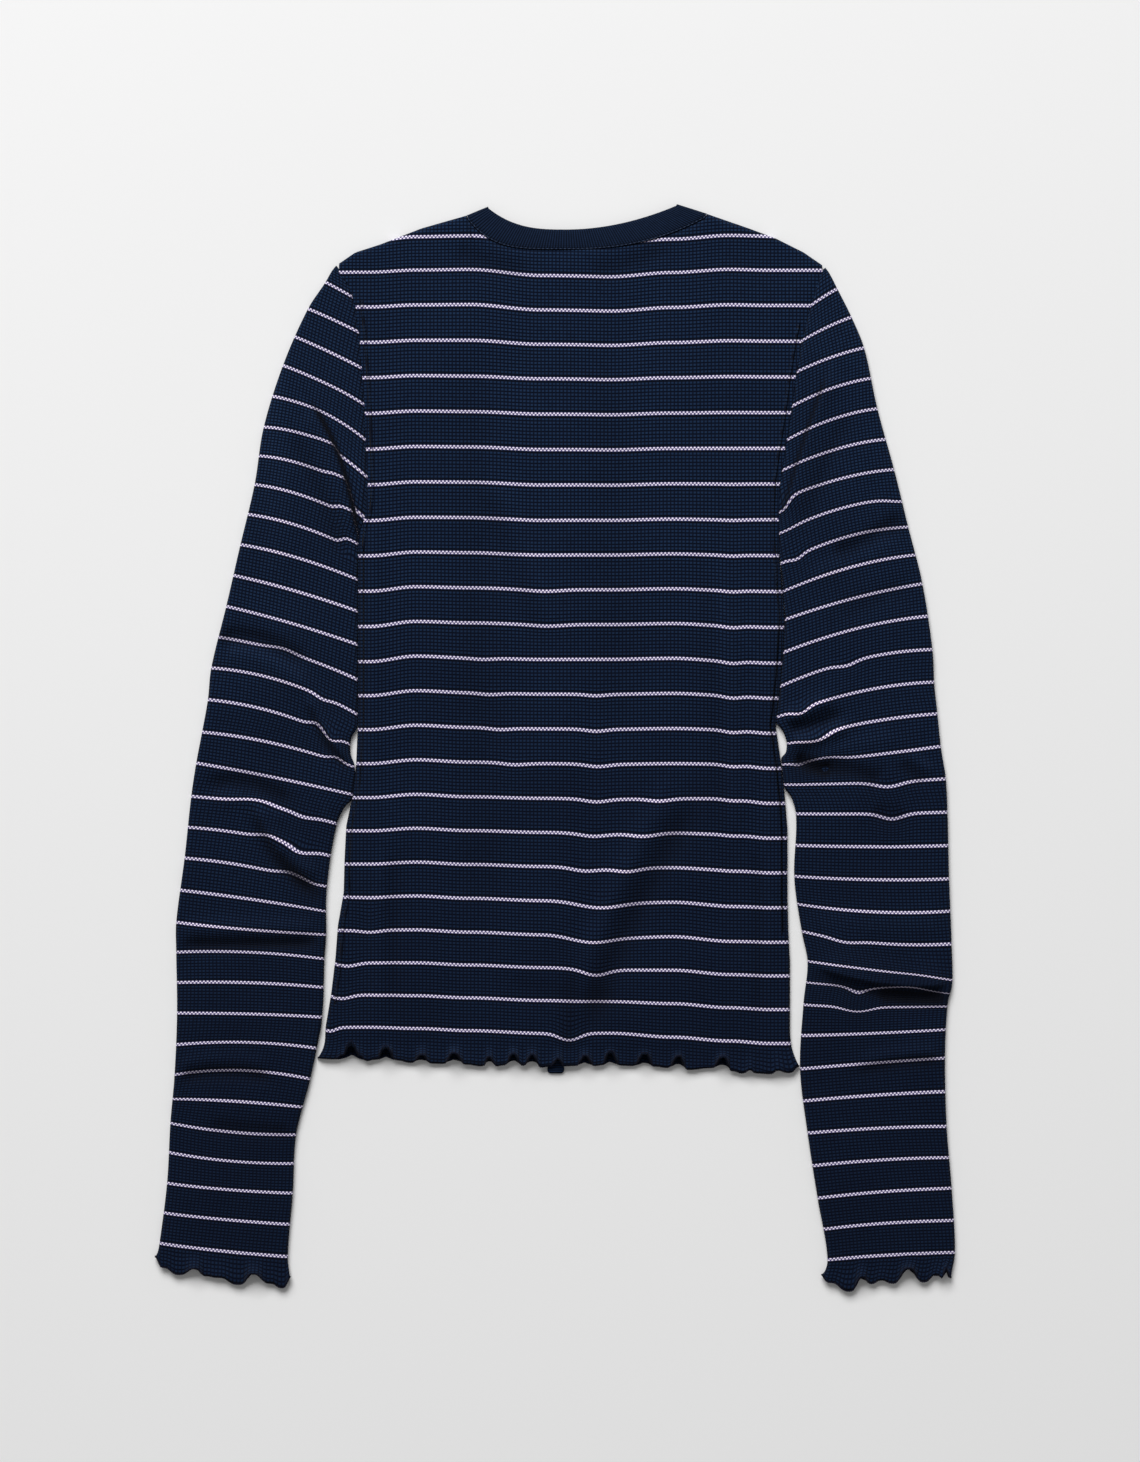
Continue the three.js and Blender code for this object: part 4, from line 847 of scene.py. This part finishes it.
def make_band(material):
    """The neck band: one ribbed strip round the neck, folded at both shoulders."""
    radius = BAND_LOFT / 2
    shares = np.linspace(0.0, 1.0, BAND_ACROSS)
    rows = []

    def fold_at(fold):
        return Line(fold.x, fold.y - radius)

    def free_fold_at(fold):
        return Line(fold.x, fold.y - FREE_ROLL * radius)

    def add(seam, free, z, push):
        x = mix(seam[0], free[0], shares)
        y = mix(seam[1], free[1], shares) + push * mix(1.0, FREE_ROLL, shares)
        puff = BAND_PUFF * (np.sin(shares * math.pi) - 0.6)
        rows.append(np.stack([x, y, z + np.where(z > radius, puff, 0.0)], axis=-1))

    for side, order in ((-1, BAND_TURNS), (1, BAND_TURNS[::-1])):
        if side > 0:
            left_seam, right_seam = fold_at(LEFT_SEAM_FOLD), fold_at(RIGHT_SEAM_FOLD)
            left_free, right_free = free_fold_at(LEFT_FREE_FOLD), free_fold_at(RIGHT_FREE_FOLD)
            roll_over(add, LEFT_SEAM_FOLD, LEFT_FREE_FOLD, radius, 1)
            for share in np.linspace(0.0, 1.0, BAND_BACK)[1:-1]:
                seam_x = mix(left_seam.x, right_seam.x, share)
                free_x = mix(left_free.x, right_free.x, share)
                seam_y = float(neck_curve(BACK_SEAM, left_seam, right_seam, np.array(seam_x)))
                free_y = float(neck_curve(BACK_FREE, left_free, right_free, np.array(free_x)))
                add((seam_x, seam_y), (free_x, free_y), BAND_LOFT, 0.0)
            roll_over(add, RIGHT_SEAM_FOLD, RIGHT_FREE_FOLD, radius, -1)
        sx, sy = front_neck(side, LEFT_SEAM_FOLD, RIGHT_SEAM_FOLD, FRONT_SEAM_DROP, order)
        fx, fy = front_neck(side, LEFT_FREE_FOLD, RIGHT_FREE_FOLD, FRONT_FREE_DROP, order)
        clear = PLACKET_WIDTH / 2 + SEAM_GAP
        for i in range(len(order)):
            seam_x = max(side * sx[i], side * (centre_line(sy[i]) + side * clear)) * side
            free_x = max(side * fx[i], side * (centre_line(fy[i]) + side * clear)) * side
            add((seam_x, sy[i]), (free_x, fy[i]), 0.0, 0.0)
    points = np.array(rows)
    moves = np.diff(points[:, BAND_ACROSS // 2], axis=0)
    steps = np.hypot(moves[:, 0], moves[:, 1]) + np.abs(moves[:, 2])
    length = np.concatenate([[0.0], np.cumsum(steps)])
    u = np.repeat(length[:, None], len(shares), axis=1)
    v = np.repeat(shares[None, :] * 12.0, len(length), axis=0)
    uv = np.stack([u, v], axis=-1)
    shade = np.zeros(u.shape)
    # Painted shade along the band's seam side, where it meets the back
    shade[:, 0] = 0.5
    shade[:, 1] = 0.2
    piece = grid_cloth("neck_band_strip", points, uv, shade, material, flipped=True, wall=BAND_WALL)
    return piece, points[:, 0]


def roll_over(add, seam_fold, free_fold, radius, way):
    """The band's rows round a shoulder fold, from the front's side to the back's or the other way."""
    for angle in way * BAND_FOLD_TURNS:
        add(seam_fold, free_fold, radius * (1 + math.sin(angle)), radius * (math.cos(angle) - 1))


def make_placket(name, z, end, material):
    half = PLACKET_WIDTH / 2
    top = (LEFT_FREE_FOLD.y + RIGHT_FREE_FOLD.y) / 2 - BAND_LOFT / 2 - FRONT_FREE_DROP
    rows_y = np.concatenate([end + PLACKET_CORNER * (1 - np.cos(np.radians(np.linspace(0, 90, 6)))),
                             np.linspace(end + PLACKET_CORNER, top, PLACKET_ROWS)[1:]])
    across = np.linspace(-1.0, 1.0, BAND_ACROSS)
    inside = np.clip((rows_y - end) / PLACKET_CORNER, 0.0, 1.0)
    trim = PLACKET_CORNER * (1 - np.sqrt(1 - (1 - inside) ** 2))
    x = centre_line(rows_y)[:, None] + across[None, :] * (half - trim)[:, None]
    y = np.repeat(rows_y[:, None], len(across), axis=1)
    heights = np.full(x.shape, z + PLACKET_WALL) - PLACKET_PUFF * across[None, :] ** 2
    points = np.stack([x, y, heights], axis=-1)
    uv = np.stack([y, (across[None, :] * half) * np.ones_like(y)], axis=-1)
    shade = np.zeros(x.shape)
    return grid_cloth(name, points, uv, shade, material, wall=PLACKET_WALL - PLACKET_THIN)


# What the panel's settings give, and the cloth's edges that stitches follow
SIZES = {}
COLOURS = {}
EDGES = {}

# Stitched edges: stitches and the cord under them in metres, and the stitches' lean in radians
OVERLOCK = {"Spacing": 0.0013, "Stitch length": 0.0013, "Stitch thickness": 0.0007,
            "Cord thickness": 0.0008, "Lean": 1.2}
SEAM_RUN = {"Spacing": 0.0026, "Stitch length": 0.0019, "Stitch thickness": 0.0005,
            "Cord thickness": 0.0001, "Lean": 0.0}


# Nodes and shader maths

def add_node(tree, kind, settings=None, values=None):
    """One node: its settings first, then each input as a value or a link."""
    made = tree.nodes.new(kind)
    for key, value in (settings or {}).items():
        setattr(made, key, value)
    for key, value in (values or {}).items():
        value = getattr(value, "socket", value)
        if isinstance(value, bpy.types.NodeSocket):
            tree.links.new(value, made.inputs[key])
        else:
            made.inputs[key].default_value = value
    return made


def arithmetic(operation, swapped=False):
    """A method that adds a Math node for this wire and another wire or number."""
    def method(self, other):
        pair = (other, self) if swapped else (self, other)
        return self.board.node("ShaderNodeMath", {"operation": operation}, dict(enumerate(pair)))
    return method


class Wire:
    """A socket that can be used in sums: each operator adds its node."""

    def __init__(self, board, socket):
        self.board = board
        self.socket = socket

    __add__ = __radd__ = arithmetic("ADD")
    __sub__ = arithmetic("SUBTRACT")
    __rsub__ = arithmetic("SUBTRACT", swapped=True)
    __mul__ = __rmul__ = arithmetic("MULTIPLY")
    __truediv__ = arithmetic("DIVIDE")
    least = arithmetic("MINIMUM")
    most = arithmetic("MAXIMUM")

    def part(self):
        return self.board.node("ShaderNodeMath", {"operation": "FRACT"}, {0: self})

    def size(self):
        return self.board.node("ShaderNodeMath", {"operation": "ABSOLUTE"}, {0: self})

    def ridge(self):
        """From 0 half way through each whole step to 1 at its ends."""
        return (self.part() - 0.5).size() * 2.0

    def between(self, low, high, start=0.0, end=1.0):
        """A smooth step from start at low to end at high."""
        return self.board.node("ShaderNodeMapRange", {"interpolation_type": "SMOOTHSTEP"},
                               {"Value": self, "From Min": low, "From Max": high,
                                "To Min": start, "To Max": end}, "Result")


class Board:
    """A material's node tree."""

    def __init__(self, name):
        self.material = bpy.data.materials.new(name)
        self.material.use_nodes = True
        self.tree = self.material.node_tree
        self.tree.nodes.clear()

    def node(self, kind, settings=None, values=None, output=0):
        made = add_node(self.tree, kind, settings, values)
        return Wire(self, made.outputs[output]) if made.outputs else made

    def mixed(self, factor, first, second, blend="MIX"):
        return self.node("ShaderNodeMix", {"data_type": "RGBA", "blend_type": blend},
                         {0: factor, 6: first, 7: second}, 2)

    def noise(self, scale, detail=2.0):
        return self.node("ShaderNodeTexNoise", {}, {"Vector": self.place(), "Scale": scale, "Detail": detail})

    def place(self):
        return self.node("ShaderNodeTexCoord", output="Object")

    def cloth(self):
        """Places across and along the cloth, from its own UV map."""
        apart = add_node(self.tree, "ShaderNodeSeparateXYZ", {},
                         {0: self.node("ShaderNodeUVMap", {"uv_map": "cloth"})})
        return Wire(self, apart.outputs[0]), Wire(self, apart.outputs[1])

    def fold(self):
        """Above 0 painted shade of folds and the band's seam, and the dark hem and cuff edge; below 0 painted
        light on lit folds and curls.
        """
        return self.node("ShaderNodeAttribute", {"attribute_name": "fold_shade"}, {}, "Fac")

    def finish(self, colour, rough, height=None, depth=0.0004, specular=0.04, sheen=0.02):
        values = {"Base Color": colour, "Roughness": rough, "Specular IOR Level": specular,
                  "Sheen Weight": sheen, "Sheen Roughness": 0.6, "Sheen Tint": (1, 1, 1, 1)}
        if height is not None:
            values["Normal"] = self.node("ShaderNodeBump", {},
                                         {"Height": height, "Distance": depth, "Strength": 1.0})
        shader = self.node("ShaderNodeBsdfPrincipled", {}, values)
        self.node("ShaderNodeOutputMaterial", {}, {"Surface": shader})
        return self.material


def linear(red, green, blue):
    """A display colour, 0 to 255, in linear light."""
    shares = [value / 255.0 for value in (red, green, blue)]
    return tuple(s / 12.92 if s <= 0.04045 else ((s + 0.055) / 1.055) ** 2.4 for s in shares) + (1.0,)


def knit_material(name, last_stripe):
    """Navy waffle knit with thin stripes of two rows of pale dots."""
    board = Board(name)
    u, v = board.cloth()
    row = v * SIZES["rows"]
    bar = u.ridge().between(0.45, 0.95, 1.0, 0.05) * row.ridge().between(0.35, 0.95, 1.0, 0.05)
    yarn = bar * (0.55 + 0.9 * board.noise(420.0, 1.0))
    navy = board.mixed(yarn, COLOURS["gap"], COLOURS["bar"])
    # Painted falloff of the light: the knit darkens towards the bottom of the laid top; the noise adds random
    # tone
    painted_falloff = board.node("ShaderNodeSeparateXYZ", {}, {0: board.place()}, 1).between(0.30, -0.30)
    tone = board.noise(14.0, 3.0).between(0.25, 0.75) * 0.16 + painted_falloff * 0.50
    navy = board.mixed(tone, navy, COLOURS["gap"])
    offset = (v + 0.5).part() - 0.5
    away = offset.size()
    last = v.between(last_stripe + 0.40, last_stripe + 0.45, 1.0, 0.0)
    on = away.between(*STRIPE_RIM, 1.0, 0.0) * v.between(-0.45, -0.40) * last
    edge = away.between(*SHADE_START) * away.between(*SHADE_END, 1.0, 0.0)
    dots = dot(u.part() - 0.5, offset + DOT_OFFSET).most(dot((u + 0.5).part() - 0.5, offset - DOT_OFFSET))
    thread = board.mixed(dots, COLOURS["mauve"], COLOURS["lilac"])
    thread = board.mixed(offset.between(0.02, 0.06) * 0.5, thread, COLOURS["mauve"])
    colour = board.mixed(on, board.mixed(edge * 0.6, navy, COLOURS["deep"]), thread)
    # Painted shade in folds, and the dark hem and cuff edge, towards the deep colour; then painted light on
    # lit folds and curls
    fold = board.fold()
    colour = board.mixed(fold.most(0.0).least(1.0) * FOLD_PAINTED_SHADE, colour, COLOURS["deep"])
    lit = board.mixed(1.0, colour, FOLD_LIGHT, "MULTIPLY")
    colour = board.mixed((fold * -1.0).most(0.0).least(1.0), colour, lit)
    return board.finish(colour, 0.92, bar * (1.0 - on) + on * (0.5 + 0.6 * dots), 0.0006)


def dot(across, along_it):
    wide = across / DOT_WIDE
    tall = along_it / DOT_TALL
    return (wide * wide + tall * tall).between(0.35, 1.05, 1.0, 0.0)


def rib_material(name, pitch=1.5):
    """Plain navy rib, for the neck band and the placket."""
    board = Board(name)
    u, v = board.cloth()
    ridge = (u / pitch).ridge().between(0.2, 0.95, 1.0, 0.0) * (v / 1.1).ridge().between(0.6, 1.0, 1.0, 0.7)
    yarn = ridge * (0.5 + 0.7 * board.noise(380.0, 1.0))
    colour = board.mixed(yarn, COLOURS["band_gap"], COLOURS["band_rib"])
    # Painted shade along the band's seam side, towards the deep colour
    colour = board.mixed(board.fold().least(1.0) * 0.6, colour, COLOURS["deep"])
    return board.finish(colour, 0.9, ridge, 0.0004)


def thread_material(name, low, high):
    """Sewing thread, uneven in tone."""
    board = Board(name)
    fine = board.noise(900.0)
    return board.finish(board.mixed(fine, low, high), 0.85, fine, 0.0001)


def floor_material():
    board = Board("pale_floor")
    colour = board.mixed(board.noise(1.2), COLOURS["floor_low"], COLOURS["floor_high"])
    return board.finish(colour, 0.95, specular=0.1, sheen=0.0)


def material_for(name, make, *values):
    """A finish by its name, made when it is first asked for."""
    return bpy.data.materials.get(name) or make(name, *values)


def stitched_edge_tree():
    """Geometry Nodes: wraps a path with a cord and small stitches laid across it."""
    tree = bpy.data.node_groups.new("Stitched edge", "GeometryNodeTree")
    face = tree.interface
    face.new_socket("Path", in_out="INPUT", socket_type="NodeSocketGeometry")
    for label, value in OVERLOCK.items():
        face.new_socket(label, in_out="INPUT", socket_type="NodeSocketFloat").default_value = value
    face.new_socket("Material", in_out="INPUT", socket_type="NodeSocketMaterial")
    face.new_socket("Edge", in_out="OUTPUT", socket_type="NodeSocketGeometry")

    def add(kind, values=None, output=0, **settings):
        made = add_node(tree, kind, settings, values)
        return made.outputs[output] if made.outputs else made

    given = tree.nodes.new("NodeGroupInput").outputs
    curve = add("GeometryNodeMeshToCurve", {"Mesh": given["Path"]})
    even = add("GeometryNodeResampleCurve", {"Curve": curve, "Length": given["Spacing"]}, mode="LENGTH")
    ball = add("GeometryNodeMeshIcoSphere", {"Radius": 0.5, "Subdivisions": 1})
    thick = given["Stitch thickness"]
    size = add("ShaderNodeCombineXYZ", {"X": given["Stitch length"], "Y": thick, "Z": thick})
    stitch = add("GeometryNodeTransform", {"Geometry": ball, "Scale": size})
    tangent = add("GeometryNodeInputTangent")
    turn = add("FunctionNodeAlignRotationToVector", {"Vector": tangent}, axis="X", pivot_axis="Z")
    lean = add("FunctionNodeEulerToRotation", {"Euler": add("ShaderNodeCombineXYZ", {"Z": given["Lean"]})})
    spin = add("FunctionNodeRotateRotation", {"Rotation": turn, "Rotate By": lean}, rotation_space="LOCAL")
    stitches = add("GeometryNodeInstanceOnPoints", {"Points": even, "Instance": stitch, "Rotation": spin})
    half = add("ShaderNodeMath", {0: given["Cord thickness"], 1: 0.5}, operation="MULTIPLY")
    circle = add("GeometryNodeCurvePrimitiveCircle", {"Resolution": 6, "Radius": half})
    cord = add("GeometryNodeCurveToMesh", {"Curve": even, "Profile Curve": circle, "Fill Caps": True})
    join = tree.nodes.new("GeometryNodeJoinGeometry")
    tree.links.new(stitches, join.inputs["Geometry"])
    tree.links.new(cord, join.inputs["Geometry"])
    real = add("GeometryNodeRealizeInstances", {"Geometry": join.outputs["Geometry"]})
    coat = add("GeometryNodeSetMaterial", {"Geometry": real, "Material": given["Material"]})
    add("NodeGroupOutput", {"Edge": coat})
    return tree


def stitched_edge(name, paths, settings, material, closed=False):
    """A stitched cord along each path, as one plain mesh."""
    places = []
    edges = []
    for path in paths:
        first = len(places)
        places += [tuple(point * MM) for point in path]
        edges += [(first + i, first + i + 1) for i in range(len(path) - 1)]
        if closed:
            edges.append((first + len(path) - 1, first))
    mesh = bpy.data.meshes.new(name + "_path")
    mesh.from_pydata(places, edges, [])
    source = placed(name + "_path", mesh)
    modifier = source.modifiers.new("Stitches", "NODES")
    modifier.node_group = bpy.data.node_groups.get("Stitched edge") or stitched_edge_tree()
    sockets = {item.name: item.identifier for item in modifier.node_group.interface.items_tree
               if item.item_type == "SOCKET" and item.in_out == "INPUT"}
    for label, value in settings.items():
        modifier[sockets[label]] = value
    modifier[sockets["Material"]] = material
    piece = made_plain(source, name)
    if not piece.data.materials:
        piece.data.materials.append(material)
    piece.data.polygons.foreach_set("use_smooth", np.ones(len(piece.data.polygons), bool))
    return piece


def colour_setting(name, description, *display):
    return bpy.props.FloatVectorProperty(name=name, description=description, size=4, subtype="COLOR",
                                         default=linear(*display), min=0.0, max=1.0)


class TopSettings(bpy.types.PropertyGroup):
    """Sizes and colours of the top that a user may change."""

    cell: bpy.props.FloatProperty(
        name="Waffle cell", description="Width of one cell of the waffle knit",
        default=0.00222, min=0.0005, unit="LENGTH")
    rows: bpy.props.FloatProperty(
        name="Rows in a stripe pitch", description="Rows of knit from one stripe to the next",
        default=10.0, min=2.0, subtype="FACTOR")
    bar: colour_setting("Knit", "Raised navy yarn", 27, 47, 76)
    gap: colour_setting("Knit gaps", "Sunken navy yarn between the raised rows", 6, 11, 28)
    lilac: colour_setting("Stripe dots", "Pale yarn of the stripes", 242, 234, 255)
    mauve: colour_setting("Stripe shade", "Sunken yarn between a stripe's dots", 72, 63, 112)
    # Deep: painted shade in folds and by the band's seam, the dark hem and cuff edge, and the dark rim beside
    # each stripe
    deep: colour_setting("Deep shade", "Yarn in folds and beside the stripes", 5, 7, 16)
    band: colour_setting("Band", "Raised yarn of the neck band", 25, 40, 66)
    floor: colour_setting("Floor", "Pale floor under the top", 236, 236, 236)
    hem_thread: colour_setting("Edge thread", "Thread of the overlocked hem and cuffs", 22, 22, 40)
    seam_thread: colour_setting("Seam thread", "Thread of the neck seam's stitches", 70, 84, 112)


def finish_piece(piece, node=None):
    """The piece moves with the whole top, and as a laid sheet it stands for its solid."""
    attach(piece, "root")
    if node:
        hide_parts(node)


class TOP_OT_back(bpy.types.Operator):
    """Make the back, with its stripes, folds and wavy hem"""

    bl_idname = "top.make_back"
    bl_label = "Back"

    def execute(self, context):
        piece, EDGES["back"] = make_back(material_for("body_knit", knit_material, LAST_BODY_STRIPE))
        finish_piece(piece, "back")
        return {"FINISHED"}


class TOP_OT_fronts(bpy.types.Operator):
    """Make both fronts, which lie on the floor under the back"""

    bl_idname = "top.make_fronts"
    bl_label = "Fronts"

    def execute(self, context):
        knit = material_for("body_knit", knit_material, LAST_BODY_STRIPE)
        for side, node in ((-1, "front_left"), (1, "front_right")):
            piece, EDGES[node] = make_front(node + "_shell", side, knit)
            finish_piece(piece, node)
        return {"FINISHED"}


class TOP_OT_sleeves(bpy.types.Operator):
    """Make both sleeves, with their stripes, folds and wavy cuffs"""

    bl_idname = "top.make_sleeves"
    bl_label = "Sleeves"

    def execute(self, context):
        knit = material_for("sleeve_knit", knit_material, LAST_SLEEVE_STRIPE)
        for node, sleeve in SLEEVES.items():
            piece, EDGES[node] = make_sleeve(node + "_shell", sleeve, knit)
            finish_piece(piece, node)
        return {"FINISHED"}


class TOP_OT_band(bpy.types.Operator):
    """Make the ribbed neck band"""

    bl_idname = "top.make_band"
    bl_label = "Neck band"

    def execute(self, context):
        piece, EDGES["neck_band"] = make_band(material_for("navy_rib", rib_material))
        finish_piece(piece, "neck_band")
        return {"FINISHED"}


class TOP_OT_plackets(bpy.types.Operator):
    """Make the two placket strips of the front"""

    bl_idname = "top.make_plackets"
    bl_label = "Plackets"

    def execute(self, context):
        rib = material_for("navy_rib", rib_material)
        over = make_placket("placket_over_strip", 0.0, PLACKET_END, rib)
        under = make_placket("placket_under_strip", PLACKET_WALL + SEAM_GAP, PLACKET_END + PLACKET_STEP, rib)
        finish_piece(over, "placket_over")
        finish_piece(under, "placket_under")
        return {"FINISHED"}


class TOP_OT_edges(bpy.types.Operator):
    """Overlock the wavy hem and cuffs, and stitch the neck seam"""

    bl_idname = "top.make_edges"
    bl_label = "Stitched edges"

    def execute(self, context):
        dark = thread_material("edge_thread", COLOURS["hem_thread_low"], COLOURS["hem_thread"])
        light = thread_material("seam_thread", COLOURS["seam_thread_low"], COLOURS["seam_thread"])
        to_middle = np.array([0.0, 0.0, WALL / 2])
        fronts = [EDGES["front_left"] + to_middle, EDGES["front_right"] + to_middle]
        pieces = [
            stitched_edge("hem_back_overlock", [EDGES["back"] - to_middle], OVERLOCK, dark),
            stitched_edge("hem_front_overlock", fronts, OVERLOCK, dark),
            stitched_edge("cuff_left_overlock", [ring(EDGES["sleeve_left"])], OVERLOCK, dark, True),
            stitched_edge("cuff_right_overlock", [ring(EDGES["sleeve_right"])], OVERLOCK, dark, True),
        ]
        seam = EDGES["neck_band"]
        shown = seam[seam[:, 2] > BAND_LOFT * 0.8] + np.array(SEAM_STITCH_SHIFT)
        neck = stitched_edge("neck_seam_stitches", [shown], SEAM_RUN, light)
        for piece in pieces:
            finish_piece(piece)
        finish_piece(neck)
        return {"FINISHED"}


def ring(edge):
    """The cuff's edge moved to the middle of its wall."""
    up = edge[:, 2].mean() - edge[:, 2]
    step = np.where(np.abs(up) > 0.2, np.sign(up), 0.0) * WALL / 2
    moved = edge + np.outer(step, (0.0, 0.0, 1.0))
    keep = np.concatenate([[True], np.linalg.norm(np.diff(moved, axis=0), axis=1) > 0.05])
    moved = moved[keep]
    if np.linalg.norm(moved[0] - moved[-1]) < 0.05:
        moved = moved[:-1]
    return moved


class TOP_OT_stage(bpy.types.Operator):
    """Set up the floor, the soft light and the camera straight above"""

    bl_idname = "top.make_stage"
    bl_label = "Stage"

    def execute(self, context):
        scene = bpy.context.scene
        corners = [(x * FLOOR_HALF, y * FLOOR_HALF, 0) for x, y in ((-1, -1), (1, -1), (1, 1), (-1, 1))]
        mesh = bpy.data.meshes.new("floor")
        mesh.from_pydata(corners, [], [(0, 1, 2, 3)])
        mesh.materials.append(floor_material())
        floor = placed("floor", mesh)
        floor.location = (0.0, 0.0, -FLOOR_DROP)

        for row in LAMPS:
            data = bpy.data.lights.new(row.name, "AREA")
            data.shape = "SQUARE"
            data.size = row.width
            data.energy = row.power
            lamp = placed(row.name, data)
            lamp.location = (row.x, row.y, row.z)
            lamp.rotation_mode = "QUATERNION"
            lamp.rotation_quaternion = (-lamp.location).to_track_quat("-Z", "Y")
        world = bpy.data.worlds.new("soft_room")
        world.use_nodes = True
        room = world.node_tree.nodes["Background"]
        room.inputs["Color"].default_value = (1.0, 1.0, 1.0, 1.0)
        room.inputs["Strength"].default_value = ROOM_LIGHT
        scene.world = world
        scene.view_settings.view_transform = "Standard"

        data = bpy.data.cameras.new("camera")
        data.lens = LENS
        data.sensor_width = SENSOR
        data.clip_end = 50.0
        camera = placed("camera", data)
        height = FRAME_HEIGHT / 2 / (SENSOR / 2 / LENS) * MM
        camera.location = (FRAME_MIDDLE[0] * MM, FRAME_MIDDLE[1] * MM, height + CAMERA_RISE * MM)
        scene.camera = camera
        return {"FINISHED"}


class TOP_PT_panel(bpy.types.Panel):
    """Lists the steps that build the top"""

    bl_idname = "TOP_PT_panel"
    bl_label = "Knitted Top"
    bl_space_type = "VIEW_3D"
    bl_region_type = "UI"
    bl_category = "Knitted Top"

    def draw(self, context):
        settings = context.scene.top_settings
        for name in TopSettings.__annotations__:
            self.layout.prop(settings, name)
        for step in STEPS:
            self.layout.operator(step.bl_idname)


STEPS = (TOP_OT_fronts, TOP_OT_back, TOP_OT_sleeves, TOP_OT_plackets, TOP_OT_band, TOP_OT_edges, TOP_OT_stage)
CLASSES = (TopSettings, *STEPS, TOP_PT_panel)


def register():
    for entry in CLASSES:
        bpy.utils.register_class(entry)
    bpy.types.Scene.top_settings = bpy.props.PointerProperty(type=TopSettings)


def unregister():
    del bpy.types.Scene.top_settings
    for entry in reversed(CLASSES):
        bpy.utils.unregister_class(entry)


def read_settings():
    settings = bpy.context.scene.top_settings
    SIZES["cell"] = settings.cell / MM
    SIZES["rows"] = settings.rows
    for name in ("bar", "gap", "lilac", "mauve", "deep", "hem_thread", "seam_thread"):
        COLOURS[name] = tuple(getattr(settings, name))
    COLOURS["hem_thread_low"] = linear(8, 9, 20)
    COLOURS["seam_thread_low"] = linear(40, 54, 80)
    COLOURS["band_rib"] = tuple(settings.band)
    COLOURS["band_gap"] = tuple(BAND_GAP_TONE * value for value in settings.band[:3]) + (1.0,)
    COLOURS["floor_low"] = tuple(settings.floor)
    COLOURS["floor_high"] = tuple(min(1.0, FLOOR_TONE * value) for value in settings.floor)


def main():
    register()
    read_settings()
    for step in STEPS:
        getattr(bpy.ops.top, step.bl_idname.split(".")[1])()


if __name__ == "__main__":
    main()
